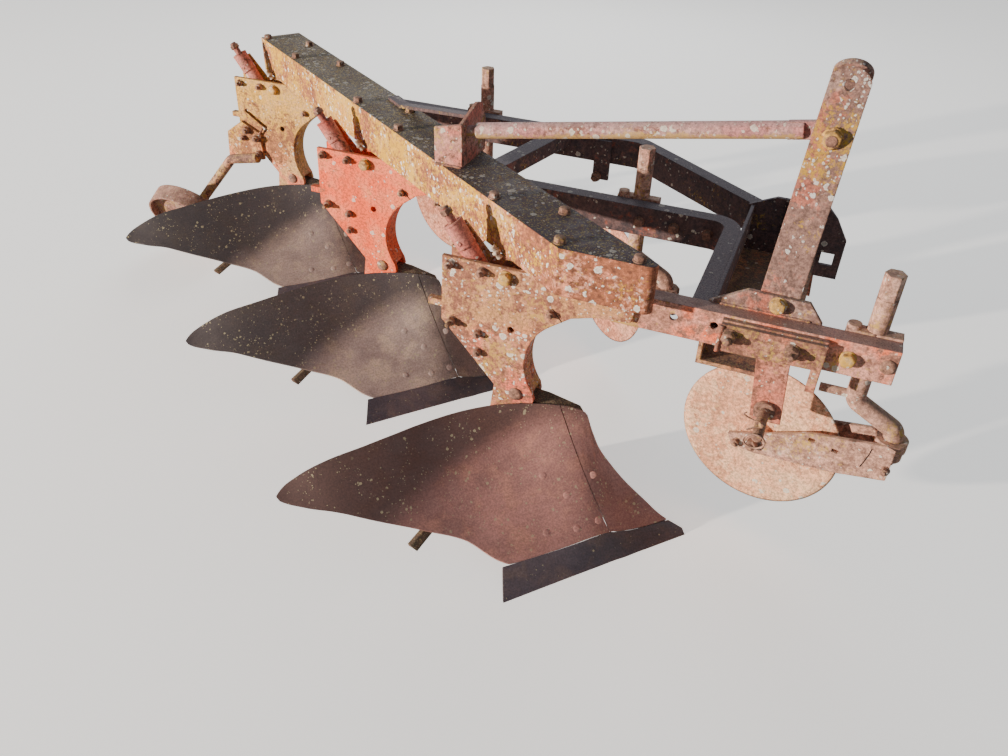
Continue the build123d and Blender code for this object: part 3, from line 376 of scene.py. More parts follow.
# Rails and hitch plates: rolled channels and cut plates, welded and bolted. Red paint is left on
# the furrow side, and inside the frame little but dark rust.
rail_finish = weathered(
    "rail_paint", (244, 124, 86), (228, 160, 140), (204, 142, 120), (124, 86, 74), (134, 110, 106),
    shares=(0.6, 0.3, 0.12, 0.9), Speck=(158, 134, 120),
)
graded(rail_finish, "Gold share", "x", 0.625, 0.67, 0.95, 0.08)
dress(rail_finish, "right_rail")
plate_finish = weathered(
    "hitch_plate_paint", (226, 112, 80), (194, 136, 112), (168, 114, 94), (108, 72, 60),
    (120, 98, 92), shares=(0.42, 0.34, 0.26, 0.8), Speck=(140, 120, 104),
)
dress(plate_finish, "hitch_bracket")
hanger_finish = weathered(
    "hanger_paint", (214, 122, 98), (214, 142, 120), (182, 118, 96), (124, 78, 64), (132, 104, 92),
    shares=(0.6, 0.26, 0.2, 0.5),
)
dress(hanger_finish, "right_hanger", "left_hanger")
inner_finish = weathered(
    "inner_rust", (136, 72, 56), (128, 88, 80), (100, 78, 76), (60, 52, 56), (106, 98, 104),
    shares=(0.3, 0.3, 0.1, 0.9), Speck=(134, 126, 124),
)
dress(inner_finish, "middle_rail", "left_rail", "left_plate", "rail_brace", "rail_strap")
dress(inner_finish, "cross_tie", "brace_stay")
channel_finish = weathered(
    "channel_paint", (218, 132, 82), (212, 152, 112), (160, 112, 88), (90, 64, 56), (96, 88, 88),
    shares=(0.5, 0.16, 0.2, 0.6),
)
dress(channel_finish, "cross_channel")

# Mast, its pins and brace: flat bars of brown rust, golden about the cross pin and pale with lichen
# towards the head. The brace is a dusty red tube with a golden underside, partly golden lichen and
# partly painted warm light on its lower side.
mast_finish = weathered(
    "mast_rust", (190, 112, 92), (184, 148, 134), (160, 122, 110), (114, 86, 78), (130, 110, 104),
    shares=(0.4, 0.46, 0.16, 0.6), Pale=(236, 230, 222), Gold=(218, 168, 52),
)
pin_low, pin_high = (np.array(corner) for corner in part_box("mast_cross_pin"))
nut = (pin_low + pin_high) / 2
graded(mast_finish, "Gold share", (nut[0], pin_low[1], nut[2]), 0.0, 0.15, 0.86, 0.18)
graded(mast_finish, "Pale share", "z", 0.7, 0.9, 0.4, 1.15)
dress(mast_finish, "right_mast_bar", "left_mast_bar", "right_gusset")
bracket_finish = weathered(
    "bracket_red", (208, 118, 100), (204, 142, 126), (166, 112, 94), (108, 74, 64), (124, 100, 92),
    shares=(0.6, 0.5, 0.24, 0.6),
)
dress(bracket_finish, "brace_bracket")
tube_finish = weathered(
    "tube_red", (192, 128, 124), (194, 150, 142), (170, 118, 104), (128, 86, 76), (178, 146, 144),
    shares=(0.62, 0.95, 0.2, 0.5), Speck=(196, 168, 160), Gold=(206, 166, 96),
)
# Painted light: gold spreads over the tube's lower side, for its golden lichen and for warm light
# on that side.
graded(tube_finish, "Gold share", "up", -0.7, 0.35, 0.85, 0.06)
dress(tube_finish, "mast_brace")
pin_finish = weathered(
    "pin_rust", (150, 104, 86), (164, 126, 108), (160, 118, 100), (92, 68, 60), (120, 100, 90),
    shares=(0.3, 0.2, 0.2, 0.4), metallic=0.2,
)
dress(pin_finish, "mast_cross_pin", "right_link_pin", "left_link_pin")
axle_finish = weathered(
    "axle_rust", (196, 140, 110), (210, 168, 126), (150, 108, 92), (84, 62, 56), (140, 112, 100),
    shares=(0.45, 0.2, 0.5, 0.3), Gold=(216, 176, 96),
)
dress(axle_finish, "wheel_axle")

# Legs: double steel plates. The front one is rust brown with red left low down under much
# lichen, the middle one keeps its faded vermilion, and the rear one is yellow ochre above red.
leg_finishes = [
    weathered(
        "leg_rust_red", (234, 118, 94), (214, 150, 116), (180, 116, 90), (140, 92, 74),
        (116, 98, 86), shares=(0.56, 0.85, 0.34, 0.6), Pale=(240, 232, 220), Gold=(216, 170, 84),
    ),
    weathered(
        "leg_vermilion", (255, 98, 52), (255, 126, 86), (204, 124, 90), (146, 102, 80),
        (130, 92, 82), shares=(0.92, 0.22, 0.1, 0.6), Gold=(216, 172, 96),
    ),
    weathered(
        "leg_ochre", (232, 128, 96), (216, 166, 108), (180, 118, 80), (122, 80, 56), (116, 98, 80),
        shares=(0.62, 0.4, 0.06, 0.6), Gold=(226, 176, 56),
    ),
]
graded(leg_finishes[0], "Paint", "z", 0.34, 0.5, (234, 118, 94), (208, 148, 98))
graded(leg_finishes[2], "Paint", "z", 0.3, 0.44, (232, 128, 96), (220, 164, 66))
graded(leg_finishes[2], "Gold share", "z", 0.3, 0.46, 0.06, 0.44)
dress(leg_finishes[2], "wheel_bracket")
for number, leg_finish in enumerate(leg_finishes, start=1):
    dress(leg_finish, f"leg_{number}")

# Bottoms' hidden side: frogs, struts and landsides, cast, forged and bolted behind the
# mouldboards, brown with dried soil and with little paint left.
frog_finish = weathered(
    "frog_soil", (120, 84, 66), (130, 100, 80), (116, 86, 70), (70, 54, 46), (88, 76, 66),
    shares=(0.3, 0.12, 0.1, 0.5), bump=0.002,
)
dress(frog_finish, "frog", "board_brace", "landside")

# Trip spring barrels: steel tubes between each leg's ears, painted red once and faded, with
# lichen in small specks.
barrel_finish = weathered(
    "barrel_red", (200, 102, 88), (202, 126, 112), (150, 98, 84), (92, 60, 54), (158, 112, 104),
    shares=(0.78, 0.3, 0.1, 0.3),
)
dress(barrel_finish, "spring_barrel")

# Rolling coulters: forged stems, clamps and yokes and pressed steel discs, evenly rusted. The
# front disc is tan from soil that dried on it, the others a salmon rust.
stem_finish = weathered(
    "stem_rust", (218, 154, 132), (218, 176, 156), (200, 152, 132), (136, 98, 84), (168, 138, 124),
    shares=(0.4, 0.4, 0.26, 0.5),
)
dress(stem_finish, "coulter_stem", "coulter_clamp", "coulter_yoke")
disc_finishes = [
    weathered(
        "disc_tan", (242, 180, 142), (238, 190, 152), (232, 168, 132), (204, 140, 108),
        (196, 160, 140), shares=(0.6, 0.3, 0.14, 0.3), Gold=(216, 178, 118),
    ),
    weathered(
        "disc_salmon", (228, 152, 124), (222, 160, 134), (208, 138, 110), (168, 108, 86),
        (180, 130, 112), shares=(0.6, 0.16, 0.1, 0.3), Gold=(220, 178, 120),
    ),
]
dress(disc_finishes[0], "coulter_disc_1")
dress(disc_finishes[1], "coulter_disc_2", "coulter_disc_3")

# Rear furrow wheel: a pressed steel dish on a leaning stub, dusty rust all over.
wheel_finish = weathered(
    "wheel_rust", (190, 140, 128), (196, 158, 142), (176, 126, 112), (96, 68, 62), (150, 116, 106),
    shares=(0.4, 0.3, 0.24, 0.5),
)
dress(wheel_finish, "rear_wheel")

# Bottoms: mouldboard, shin and share are plates of hard steel, pressed hollow, that meet edge to
# edge on the frog and are scoured bright by soil. Each row is an upright section of their face:
# where it meets the ground, where its top edge stands, and how far it hollows between.
FACE_ROWS = np.array([
    # station, foot's distance out, top's distance out, top's height, hollow
    (-748, 375, 24, 172, 16), (-667, 372, 24, 203, 18), (-574, 368, 32, 232, 20),
    (-480, 364, 33, 244, 22), (-386, 360, 31, 254, 24), (-290, 356, 25, 261, 26),
    (-189, 352, 22, 267, 27), (-60, 346, 33, 275, 27), (50, 341, 57, 278, 26),
    (149, 337, 94, 279, 23), (224, 334, 130, 267, 20), (240, 334, 141, 229, 19),
    (264, 333, 158, 178, 17), (297, 331, 182, 138, 14), (330, 330, 205, 105, 12),
    (380, 328, 240, 66, 7), (430, 326, 275, 30, 3), (482, 324, 310, 9, 0.5),
], float)
# the lower edge of the mouldboard, from the wing's tip: station and distance out
WING = np.array([
    (-749, 33), (-744, 42), (-730, 52.4), (-704, 66.6), (-594, 113), (-484, 149),
    (-353, 185), (-237, 219), (-149, 274), (-120, 284), (-80, 285), (500, 285),
], float)
TIP, POINT = -748, 482
SHARE_OUT, SHARE_GAP = 285.0, 0.6
SHIN, SHIN_GAP = ((158.0, 110.0), (225.0, 285.0)), 1.2
EASED_DOWN, EASED_UP = 4.6, 12


def eased(at, known, values):
    """Monotone cubic through known points: in each step the two ends' values and slopes are
    blended by Hermite's four cubics, with each slope the harmonic mean of its neighbours."""
    step = np.diff(known)
    slope = np.diff(values) / step
    tangent = np.zeros_like(values)
    same = slope[:-1] * slope[1:] > 0
    first = 2 * step[1:] + step[:-1]
    second = step[1:] + 2 * step[:-1]
    with np.errstate(divide="ignore", invalid="ignore"):
        mean = (first + second) / (first / slope[:-1] + second / slope[1:])
    tangent[1:-1] = np.where(same, mean, 0)
    tangent[0], tangent[-1] = slope[0], slope[-1]
    cell = np.clip(np.searchsorted(known, at) - 1, 0, len(step) - 1)
    share = (at - known[cell]) / step[cell]
    low, high = values[cell], values[cell + 1]
    return (
        (1 + 2 * share) * (1 - share) ** 2 * low
        + share * (1 - share) ** 2 * step[cell] * tangent[cell]
        + share**2 * (3 - 2 * share) * high
        - share**2 * (1 - share) * step[cell] * tangent[cell + 1]
    )


def face_row(station, column):
    """One of the face rows' columns at a station."""
    return eased(station, FACE_ROWS[:, 0], FACE_ROWS[:, column])


def face_height(station, out):
    """Height of the worked face at a station and distance out: the lower side of the circle
    through the section's foot and top edge whose arc hangs the hollow's depth below its chord."""
    foot, top, height, hollow = (face_row(station, column) for column in (1, 2, 3, 4))
    run, chord = top - foot, np.hypot(top - foot, height)
    radius = (chord**2 / 4 + hollow**2) / (2 * hollow)
    middle_out, middle_z = (foot + top) / 2, height / 2
    # the arc's centre lies on the furrow side of the chord
    centre_out = middle_out + height / chord * (radius - hollow)
    centre_z = middle_z - run / chord * (radius - hollow)
    reach = np.clip(radius**2 - (out - centre_out) ** 2, 0, None)
    return np.clip(centre_z - np.sqrt(reach), 0, None)


def top_out(station):
    """Distance out of the face's top edge: the rows' own, rounded off at the wing's tip by a
    power of the way into it."""
    length, drop = 46, 8.5
    into_tip = np.clip((TIP + length - station) / length, 0, 1)
    return face_row(station, 2) + drop * into_tip**2.4


def smoothed(station, out, spread):
    """The face's height averaged over the stations on both sides, weighted by a bell curve with
    this spread in millimetres."""
    total, weights = 0, 0
    for step in range(-6, 7):
        weight = math.exp(-0.5 * (step / 3) ** 2)
        near = np.clip(station + step * spread / 3, TIP, POINT)
        total = total + weight * face_height(near, out)
        weights += weight
    return total / weights


def worked_height(station, out):
    """The face as soil has worn it: its height moved to the averaged one where it lies inside,
    by a smooth step that is 0 along the top edge, the share's edge and the wing's tip."""
    height = face_height(station, out)
    eased_by = np.clip(smoothed(station, out, 30) - height, -EASED_DOWN, EASED_UP)
    border, low_edge, wing_starts, wing_run = 24, 330, -700, 120
    inside = np.clip((out - top_out(station)) / border, 0, 1)
    inside = inside * np.clip((low_edge - out) / border, 0, 1)
    inside = inside * np.clip((station - wing_starts) / wing_run, 0, 1)
    return height + eased_by * inside * inside * (3 - 2 * inside)


def plan_spot(station, out, height, furrow):
    """Metres in the shared frame for a spot of a bottom: its station is x plus y, and its
    distance out is x less y, over the root of 2."""
    x = (station + out * 2**0.5) / 2
    y = (station - out * 2**0.5) / 2
    return (np.stack([x, y, height], -1) + FURROWS[furrow] + LAYOUT) / 1000


def soften(mesh):
    """Shade a shell's worked side by the face averaged more widely, so that no fold catches the
    light: each corner's normal is the cross product of the averaged face's two slopes there."""
    count = len(mesh.loops)
    laid = np.empty(count * 2)
    mesh.uv_layers["laid"].data.foreach_get("uv", laid)
    station, out = laid.reshape(-1, 2).T * 1000
    reach = []
    for on, off in ((4.0, 0.0), (0.0, 4.0)):
        ends = ((station - on, out - off), (station + on, out + off))
        low, high = (plan_spot(at, aside, smoothed(at, aside, 52), 0) for at, aside in ends)
        reach.append(high - low)
    facing = np.cross(reach[0], reach[1])
    facing /= np.linalg.norm(facing, axis=1, keepdims=True)
    facing *= np.where(facing[:, :1] - facing[:, 1:2] >= 0, 1, -1)
    faces = len(mesh.polygons)
    first, corners, own = np.empty(faces, np.int32), np.empty(faces, np.int32), np.empty(faces * 3)
    mesh.polygons.foreach_get("loop_start", first)
    mesh.polygons.foreach_get("loop_total", corners)
    mesh.polygons.foreach_get("normal", own)
    agree = (facing * np.repeat(own.reshape(-1, 3), corners, axis=0)).sum(axis=1) > 0.8
    worked = np.repeat(np.logical_and.reduceat(agree, first), corners)
    mesh.normals_split_custom_set((facing * worked[:, None]).tolist())


def turn_out(mesh, sharp, merge=False):
    """Turn a closed mesh's faces outwards and shade it smooth up to an angle in degrees."""
    shaped = bmesh.new()
    shaped.from_mesh(mesh)
    if merge:
        bmesh.ops.remove_doubles(shaped, verts=shaped.verts, dist=1e-6)
    bmesh.ops.recalc_face_normals(shaped, faces=shaped.faces)
    shaped.to_mesh(mesh)
    shaped.free()
    mesh.shade_smooth()
    mesh.set_sharp_from_angle(angle=math.radians(sharp))


def shell(kind, stands_for, station, out, furrow, finish):
    """A closed plate over a grid of stations and distances out. Its front is the worn face, eased
    back at the rim, and its rear is the face less the thickness along the front's normal."""
    thickness, rim = 0.0078, 0.0012
    front = plan_spot(station, out, worked_height(station, out), furrow)
    along, across = np.gradient(front, axis=0), np.gradient(front, axis=1)
    outward = np.cross(along, across)
    length = np.linalg.norm(outward, axis=-1, keepdims=True)
    outward = outward / np.maximum(length, 1e-12)
    outward *= np.where(outward[..., :1] - outward[..., 1:2] >= 0, 1, -1)
    rows, columns = station.shape
    at_rim = np.ones((rows, columns, 1))
    at_rim[1:-1, 1:-1] = 0
    unworn = np.minimum(face_height(station, out), worked_height(station, out) + EASED_DOWN)
    rear = plan_spot(station, out, unworn, furrow) - outward * thickness
    front = front - outward * rim * at_rim
    points = np.concatenate([front.reshape(-1, 3), rear.reshape(-1, 3)])
    points[:, 2] = np.maximum(points[:, 2], 0)
    index = np.arange(rows * columns).reshape(rows, columns)
    quads = np.stack([index[:-1, :-1], index[1:, :-1], index[1:, 1:], index[:-1, 1:]], -1)
    quads = quads.reshape(-1, 4)
    first, second, _, fourth = points[quads].transpose(1, 0, 2)
    turn = np.cross(second - first, fourth - first) * outward.reshape(-1, 3)[quads[:, 0]]
    if np.median(turn.sum(axis=1)) < 0:
        quads = quads[:, ::-1]
    back = quads[:, ::-1] + rows * columns
    ring = np.concatenate([index[0, :], index[1:, -1], index[-1, -2::-1], index[-2:0:-1, 0]])
    after = np.roll(ring, -1)
    sides = np.stack([ring, after, after + rows * columns, ring + rows * columns], -1)
    name = f"{kind}_{furrow + 1}"
    mesh = bpy.data.meshes.new(name)
    faces = np.concatenate([quads, back, sides])
    mesh.from_pydata(points.tolist(), [], faces.tolist())
    mesh.validate()
    # the plate laid flat, in metres, for scratches that run along it
    laid = np.tile(np.stack([station.reshape(-1), out.reshape(-1)], -1) / 1000, (2, 1))
    corner = np.empty(len(mesh.loops), np.int32)
    mesh.loops.foreach_get("vertex_index", corner)
    mesh.uv_layers.new(name="laid").data.foreach_set("uv", laid[corner].reshape(-1))
    turn_out(mesh, 40, merge=True)
    soften(mesh)
    mesh.materials.append(finish)
    piece = placed(name, mesh)
    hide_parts(f"{stands_for}_{furrow + 1}")
    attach(piece, "frame")


def worked_steel(name, brown, bright, dark, patina_and_shade, band, gloss, growth_share):
    """Rust polished by soil: cloudy patches, long scratches along the turn, pale specks, and a dark
    band along the top, from this height on, that is broader towards the wing: partly unscoured
    patina and partly painted shade of the curled top edge. The face is also darker towards its
    front, and towards the wing's tip as painted shade."""
    brown, bright, dark, patina_and_shade = (tone(*colour) for colour in (brown, bright, dark, patina_and_shade))
    material, tree, shader = new_material(name)
    coordinates = add_node(tree, "TexCoord", {})
    place, laid = coordinates.outputs["Object"], coordinates.outputs["UV"]
    cloud = noise(tree, place, 5.0, 6.0, 0.6)
    patch = noise(tree, place, 19.0, 7.0, 0.65)
    fine = noise(tree, place, 240.0, 3.0, 0.6)
    along_turn = {"Vector": laid, "Rotation": (0, 0, 0.16), "Scale": (0.06, 1.0, 1.0)}
    drawn = add_node(tree, "Mapping", along_turn)
    scratch = noise(tree, drawn.outputs[0], 190.0, 5.0, 0.7)
    base = mixed(tree, ramp(tree, cloud, 0.36, 0.62), dark, brown)
    base = mixed(tree, times(tree, ramp(tree, patch, 0.48, 0.66), 0.55), base, bright)
    forward = add_node(tree, "SeparateXYZ", {0: laid}).outputs[0]
    high = add_node(tree, "SeparateXYZ", {0: place}).outputs[2]
    high = scaled(tree, forward, -0.25, high)
    high = scaled(tree, maths(tree, "SUBTRACT", cloud, 0.5), 0.1, high)
    # The top band: the patina colour, as unscoured steel and as painted shade where the curled top
    # edge turns from the light.
    base = mixed(tree, ramp(tree, high, band, band + 0.07, 0.0, 0.9), base, patina_and_shade)
    lined = ramp(tree, scratch, 0.32, 0.68, 0.93, 1.07)
    grainy = times(tree, lined, ramp(tree, fine, 0.3, 0.7, 0.78, 1.2))
    # Darker towards the front, and towards the wing's tip as painted shade of the face turned from
    # the light.
    grainy = times(tree, grainy, ramp(tree, forward, 0.02, 0.24, 1.0, 0.6))
    grainy = times(tree, grainy, ramp(tree, forward, -0.64, -0.3, 0.72, 1.0))
    grey = add_node(tree, "CombineColor", {0: grainy, 1: grainy, 2: grainy})
    base = mixed(tree, 1.0, base, grey.outputs[0], "MULTIPLY")
    small = vectors(tree, "MULTIPLY", place, (2.1, 2.1, 2.1)).outputs[0]
    inputs = {"Vector": small, "Share": growth_share}
    speck = add_node(tree, "Group", inputs, node_tree=lichen)
    base = mixed(tree, times(tree, speck.outputs["Mask"], 0.65), base, tone(192, 178, 140))
    rough = ramp(tree, patch, 0.3, 0.7, gloss - 0.08, gloss + 0.2)
    height = times(tree, scratch, 0.08)
    height = scaled(tree, patch, 0.6, scaled(tree, fine, 0.3, height))
    relief = add_node(tree, "Bump", {"Height": height, "Distance": 0.0009, "Strength": 1.0})
    inputs = {"Base Color": base, "Roughness": rough, "Normal": relief.outputs[0]}
    fill(tree, shader, inputs | {"Metallic": 0.25})
    return material


# brown, bright, dark and patina with painted shade, then the band's height, the gloss and the
# specks' share
finishes = [
    ("brown", (192, 134, 124), (218, 156, 136), (152, 108, 100), (74, 54, 50), 0.19, 0.5, 0.34),
    ("olive", (194, 168, 156), (220, 192, 166), (156, 134, 128), (58, 50, 52), 0.15, 0.5, 0.4),
    ("dark", (178, 154, 144), (206, 180, 158), (142, 122, 118), (50, 45, 48), 0.13, 0.5, 0.34),
    # The share's rust is darkened and cooled further as painted shade.
    ("share", (100, 86, 90), (124, 104, 96), (72, 64, 72), (72, 62, 66), 0.3, 0.42, 0.12),
]
*board_finishes, share_finish_with_shade = (worked_steel(f"steel_{row[0]}", *row[1:]) for row in finishes)


def grid(rows, columns):
    """Shares from 0 to 1 down the rows and across the columns of a grid."""
    return np.linspace(0, 1, rows)[:, None], np.linspace(0, 1, columns)[None, :]


def shin_joint(across, lowest):
    """Station of the straight joint between mouldboard and shin at these shares of the way up
    from the lower edge. Joint and edges depend on each other, so it is found by repeating."""
    (low_station, low_out), (high_station, high_out) = SHIN
    station = np.full(across.shape, 180.0)
    for _ in range(30):
        low, high = lowest(station), top_out(station)
        off = low + (high - low) * across - low_out
        station = low_station + off * (high_station - low_station) / (high_out - low_out)
    return station


def wing_out(station):
    """Distance out of the mouldboard's lower edge."""
    return eased(station, WING[:, 0], WING[:, 1])


SHIN_END, HEEL, HEEL_LEAN = 440, -149, 36
for furrow in range(3):
    # mouldboard, from the wing's tip to its joint with the shin
    along, across = grid(150, 40)
    station = TIP + (shin_joint(across, wing_out) - SHIN_GAP - TIP) * along
    low, high = wing_out(station), top_out(station)
    out = low + (high - low) * across
    shell("board", "mouldboard", station, out, furrow, board_finishes[furrow])
    # shin, from that joint to the front edge, which cuts the furrow's wall
    along, across = grid(60, 24)
    start = shin_joint(across, lambda station: SHARE_OUT) + SHIN_GAP
    station = start + (SHIN_END - start) * along
    high = np.minimum(top_out(station), SHARE_OUT - 1)
    out = SHARE_OUT - SHARE_GAP + (high - SHARE_OUT + SHARE_GAP) * across
    shell("shin_plate", "shin", station, out, furrow, board_finishes[furrow])
    # share, from its slanted heel to its point
    along, across = grid(120, 14)
    heel = HEEL - HEEL_LEAN * (1 - across)
    station = heel + (POINT - heel) * along
    foot = face_row(station, 1)
    high = np.maximum(top_out(station), SHARE_OUT + SHARE_GAP)
    out = foot + (high - foot) * across
    shell("share_plate", "share", station, out, furrow, share_finish_with_shade)

# Fasteners: rolled steel hexagon heads, and nuts on threaded ends, each on its washer, rusted
# fast. They face the furrow side, the land side or up, and are set with a spanner.
NEAR, FAR, UP = (0, -1, 0), (0, 1, 0), (0, 0, 1)


def turned(rows, at, axis, turn=0.0, sides=24):
    """Points and faces of a form turned about an axis, from rows of radius and height: each row
    is a ring of the radius times the angle's cosine and sine, set at the height on the axis."""
    axis = np.asarray(axis, float) / np.linalg.norm(axis)
    first = np.cross(axis, (0.0, 0.0, 1.0) if abs(axis[2]) < 0.9 else (1.0, 0.0, 0.0))
    first /= np.linalg.norm(first)
    second = np.cross(axis, first)
    angle = np.linspace(0, 2 * math.pi, sides, endpoint=False)
    rings = []
    for radius, height in rows:
        reach, rise = np.broadcast_to(radius, (sides,)), np.broadcast_to(height, (sides,))
        ring = np.outer(reach * np.cos(angle + turn), first)
        ring = ring + np.outer(reach * np.sin(angle + turn), second)
        rings.append(np.asarray(at, float) + ring + np.outer(rise, axis))
    index = np.arange(len(rows) * sides).reshape(len(rows), sides)
    after = np.roll(index, -1, axis=1)
    quads = np.stack([index[:-1], after[:-1], after[1:], index[1:]], -1).reshape(-1, 4)
    return np.concatenate(rings), [quads, np.stack([index[0, ::-1], index[-1]])]


def hexagon(flats, thick, sides=24):
    """Rows of a hexagon of this width across flats: half the width over the cosine of the angle
    from the flat's middle, with its upper corners chamfered round."""
    angle = np.linspace(0, 2 * math.pi, sides, endpoint=False)
    corner = flats / 2 / np.cos(angle % (math.pi / 3) - math.pi / 6)
    low = thick - np.clip(corner - flats * 0.47, 0, None) * 0.65
    crown = [(flats * 0.45, thick), (flats * 0.38, thick + 0.4)]
    return [(corner * 0.96, 0.0), (corner, 0.7), (corner, low), *crown]


def thread(crest, root, start, pitch, fall, turns):
    """Rows of a thread: a crest at each pitch from a height on, and its root a fall above it."""
    steps = range(turns)
    return [(r, start + pitch * n + up) for n in steps for r, up in ((crest, 0), (root, fall))]


def bolt(at, axis, flats, stud=0.0, turn=0.0, thick=0.62):
    """A washer with a hexagon head, or with a nut on a threaded end that stands out by stud."""
    at, axis = np.asarray(at, float), np.asarray(axis, float)
    washer, rod, seat = flats * 0.66, flats * 0.31, 2.4
    plate = [(washer * 0.97, 0.0), (washer, 0.5), (washer, 1.9), (washer * 0.95, 2.5)]
    forms = [turned(plate, at, axis)]
    forms.append(turned(hexagon(flats, flats * thick), at + seat * axis, axis, turn))
    if stud:
        rows = [(rod, -1.0), *thread(rod, rod * 0.87, 0.5, 1.7, 0.85, int(stud / 1.7))]
        rows += [(rod * 0.86, stud - 0.6), (rod * 0.7, stud)]
        forms.append(turned(rows, at + (seat + flats * thick) * axis, axis, turn, 16))
    return forms


def swept(path, radius, sides=12, closed=False, wave=0.0):
    """Points and faces of a rod along a path: at each point a ring of the radius, square to the
    way ahead, swollen and shrunk by two sines of this wave as a weld is."""
    path = np.asarray(path, float)
    ahead = np.roll(path, -1, 0) - np.roll(path, 1, 0) if closed else np.gradient(path, axis=0)
    ahead /= np.linalg.norm(ahead, axis=1, keepdims=True)
    side = np.cross(ahead, (0.11, 0.23, 0.97))
    side /= np.linalg.norm(side, axis=1, keepdims=True)
    over = np.cross(side, ahead)
    step = np.arange(len(path))
    size = radius * (1 + wave * np.sin(step * 1.9) + wave * 0.6 * np.sin(step * 0.73))
    angle = np.linspace(0, 2 * math.pi, sides, endpoint=False)[None, :, None]
    ring = np.cos(angle) * over[:, None] + np.sin(angle) * side[:, None]
    points = path[:, None] + ring * size[:, None, None]
    index = np.arange(len(path) * sides).reshape(len(path), sides)
    if closed:
        index = np.concatenate([index, index[:1]])
    after = np.roll(index, -1, axis=1)
    quads = np.stack([index[:-1], after[:-1], after[1:], index[1:]], -1).reshape(-1, 4)
    ends = [] if closed else [np.stack([index[0, ::-1], index[-1]])]
    return points.reshape(-1, 3), [quads, *ends]


def gathered(name, forms, material, body="frame", furrow=0):
    """One piece from several forms given in the layout's millimetres."""
    points, faces, start = [], [], 0
    for form_points, blocks in forms:
        points.append(spot(form_points, furrow))
        for block in blocks:
            faces += (block + start).tolist()
        start += len(form_points)
    mesh = bpy.data.meshes.new(name)
    mesh.from_pydata(np.concatenate(points).tolist(), [], faces)
    turn_out(mesh, 34)
    mesh.materials.append(material)
    piece = placed(name, mesh)
    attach(piece, body)


bolt_finish = weathered(
    "bolt_rust", (176, 128, 108), (188, 150, 128), (158, 116, 98), (98, 72, 62), (150, 118, 104),
    shares=(0.4, 0.5, 0.24, 0.3), bump=0.0007,
)
gold_finish = weathered(
    "bolt_gold", (206, 156, 84), (214, 174, 120), (176, 126, 86), (116, 84, 62), (190, 150, 98),
    shares=(0.6, 0.7, 0.5, 0.3), Gold=(216, 164, 60), bump=0.0007,
)
stud_finish = weathered(
    "stud_pale", (214, 190, 168), (220, 204, 186), (190, 156, 132), (120, 92, 78), (180, 150, 130),
    shares=(0.7, 0.9, 0.3, 0.2), bump=0.0006,
)

# Leg fittings: steel bolts through both plates, with a large golden head on the furrow side,
# then the trip spring's: the ear's stud with its lock nut, the barrel's sleeve, pressed flat to go
# down between the plates, its rim and plug, and the nut on its threaded rod.
NEAR_NUTS = (
    # x, z, width across flats, threaded end
    (-119, 587, 17, 10), (-45, 585, 17, 9), (-116, 447, 18, 15),
    (-53, 430, 16, 6), (-53, 381, 16, 5), (112, 522, 15, 4),
)
FAR_HEADS = ((-117, 588, 17), (-41, 588, 17), (14, 586, 24), (-116, 447, 18), (112, 522, 15))
FOOT_HEAD = [(16, 0), (16, 2.5), (14.5, 4.6), (10, 6.4), (4, 7.2)]
NEAR_FACE, FAR_FACE = -5, 53
LEAN, BARREL_FOOT = np.array([-0.57, 0, 0.821]), np.array([-51, 24, 560])
RIM = [(21.6, -5), (22.7, -3.5), (22.7, 0.6), (22.0, 1.4), (18.5, 1.4), (17.4, 0.4), (17.0, 0.05)]
PLUG = [(5, -1), (5, 1.1), (3.4, 1.5), (2.8, 0.7)]
BARREL_LENGTH, ROD = 131, 9.7
for furrow in range(3):
    forms = []
    for count, (x, z, flats, stud) in enumerate(NEAR_NUTS):
        # the wheel bracket covers three of the rear leg's nuts
        if furrow < 2 or count not in (2, 3, 4):
            at = (x + 3 * (furrow == 2), NEAR_FACE, z)
            forms += bolt(at, NEAR, flats, stud, turn=0.37 * (count + furrow))
    forms.append(turned(FOOT_HEAD, (40, NEAR_FACE, 291), NEAR))
    gathered(f"leg_bolts_{furrow + 1}", forms, bolt_finish, furrow=furrow)
    forms = bolt((8, NEAR_FACE, 582), NEAR, 25, turn=0.3 + furrow, thick=0.5)
    gathered(f"leg_large_bolt_{furrow + 1}", forms, gold_finish, furrow=furrow)
    forms = []
    for count, (x, z, flats) in enumerate(FAR_HEADS):
        forms += bolt((x, FAR_FACE, z), FAR, flats, turn=0.5 * count)
    gathered(f"leg_far_bolts_{furrow + 1}", forms, bolt_finish, furrow=furrow)

    rows = [(6.6, -4), *thread(6.6, 5.7, 0, 1.9, 1, 14), (5.0, 27)]
    forms = [turned(rows, (-26, 40, 602), LEAN, sides=18)]
    forms.append(turned(hexagon(17, 7), (-30, 40, 608), LEAN, 0.3))
    gathered(f"ear_stud_{furrow + 1}", forms, stud_finish, furrow=furrow)
    # an ellipse: 1 over the root of the sum of squares of cosine and sine over its half widths
    angle = np.linspace(0, 2 * math.pi, 40, endpoint=False)
    flat = 1 / np.sqrt((np.cos(angle) / 18.9) ** 2 + (np.sin(angle) / 22.0) ** 2)
    forms = [turned([(flat * 0.9, 16), (flat, 22), (flat, 74)], BARREL_FOOT, LEAN, sides=40)]
    gathered(f"barrel_sleeve_{furrow + 1}", forms, barrel_finish, furrow=furrow)
    forms = [turned(RIM, BARREL_FOOT + LEAN * BARREL_LENGTH, LEAN, sides=40)]
    forms.append(turned(PLUG, BARREL_FOOT + LEAN * 88 + (0, -22, 0), NEAR))
    gathered(f"barrel_rim_{furrow + 1}", forms, barrel_finish, furrow=furrow)
    rows = [(ROD, BARREL_LENGTH), *thread(ROD + 0.25, ROD - 0.7, 132, 1.8, 0.9, 20)]
    forms = [turned(rows + [(ROD - 0.6, 168), (ROD - 2.2, 169)], BARREL_FOOT, LEAN)]
    forms.append(turned(hexagon(24, 12), BARREL_FOOT + LEAN * 151, LEAN, 0.4))
    gathered(f"barrel_nut_{furrow + 1}", forms, pin_finish, furrow=furrow)

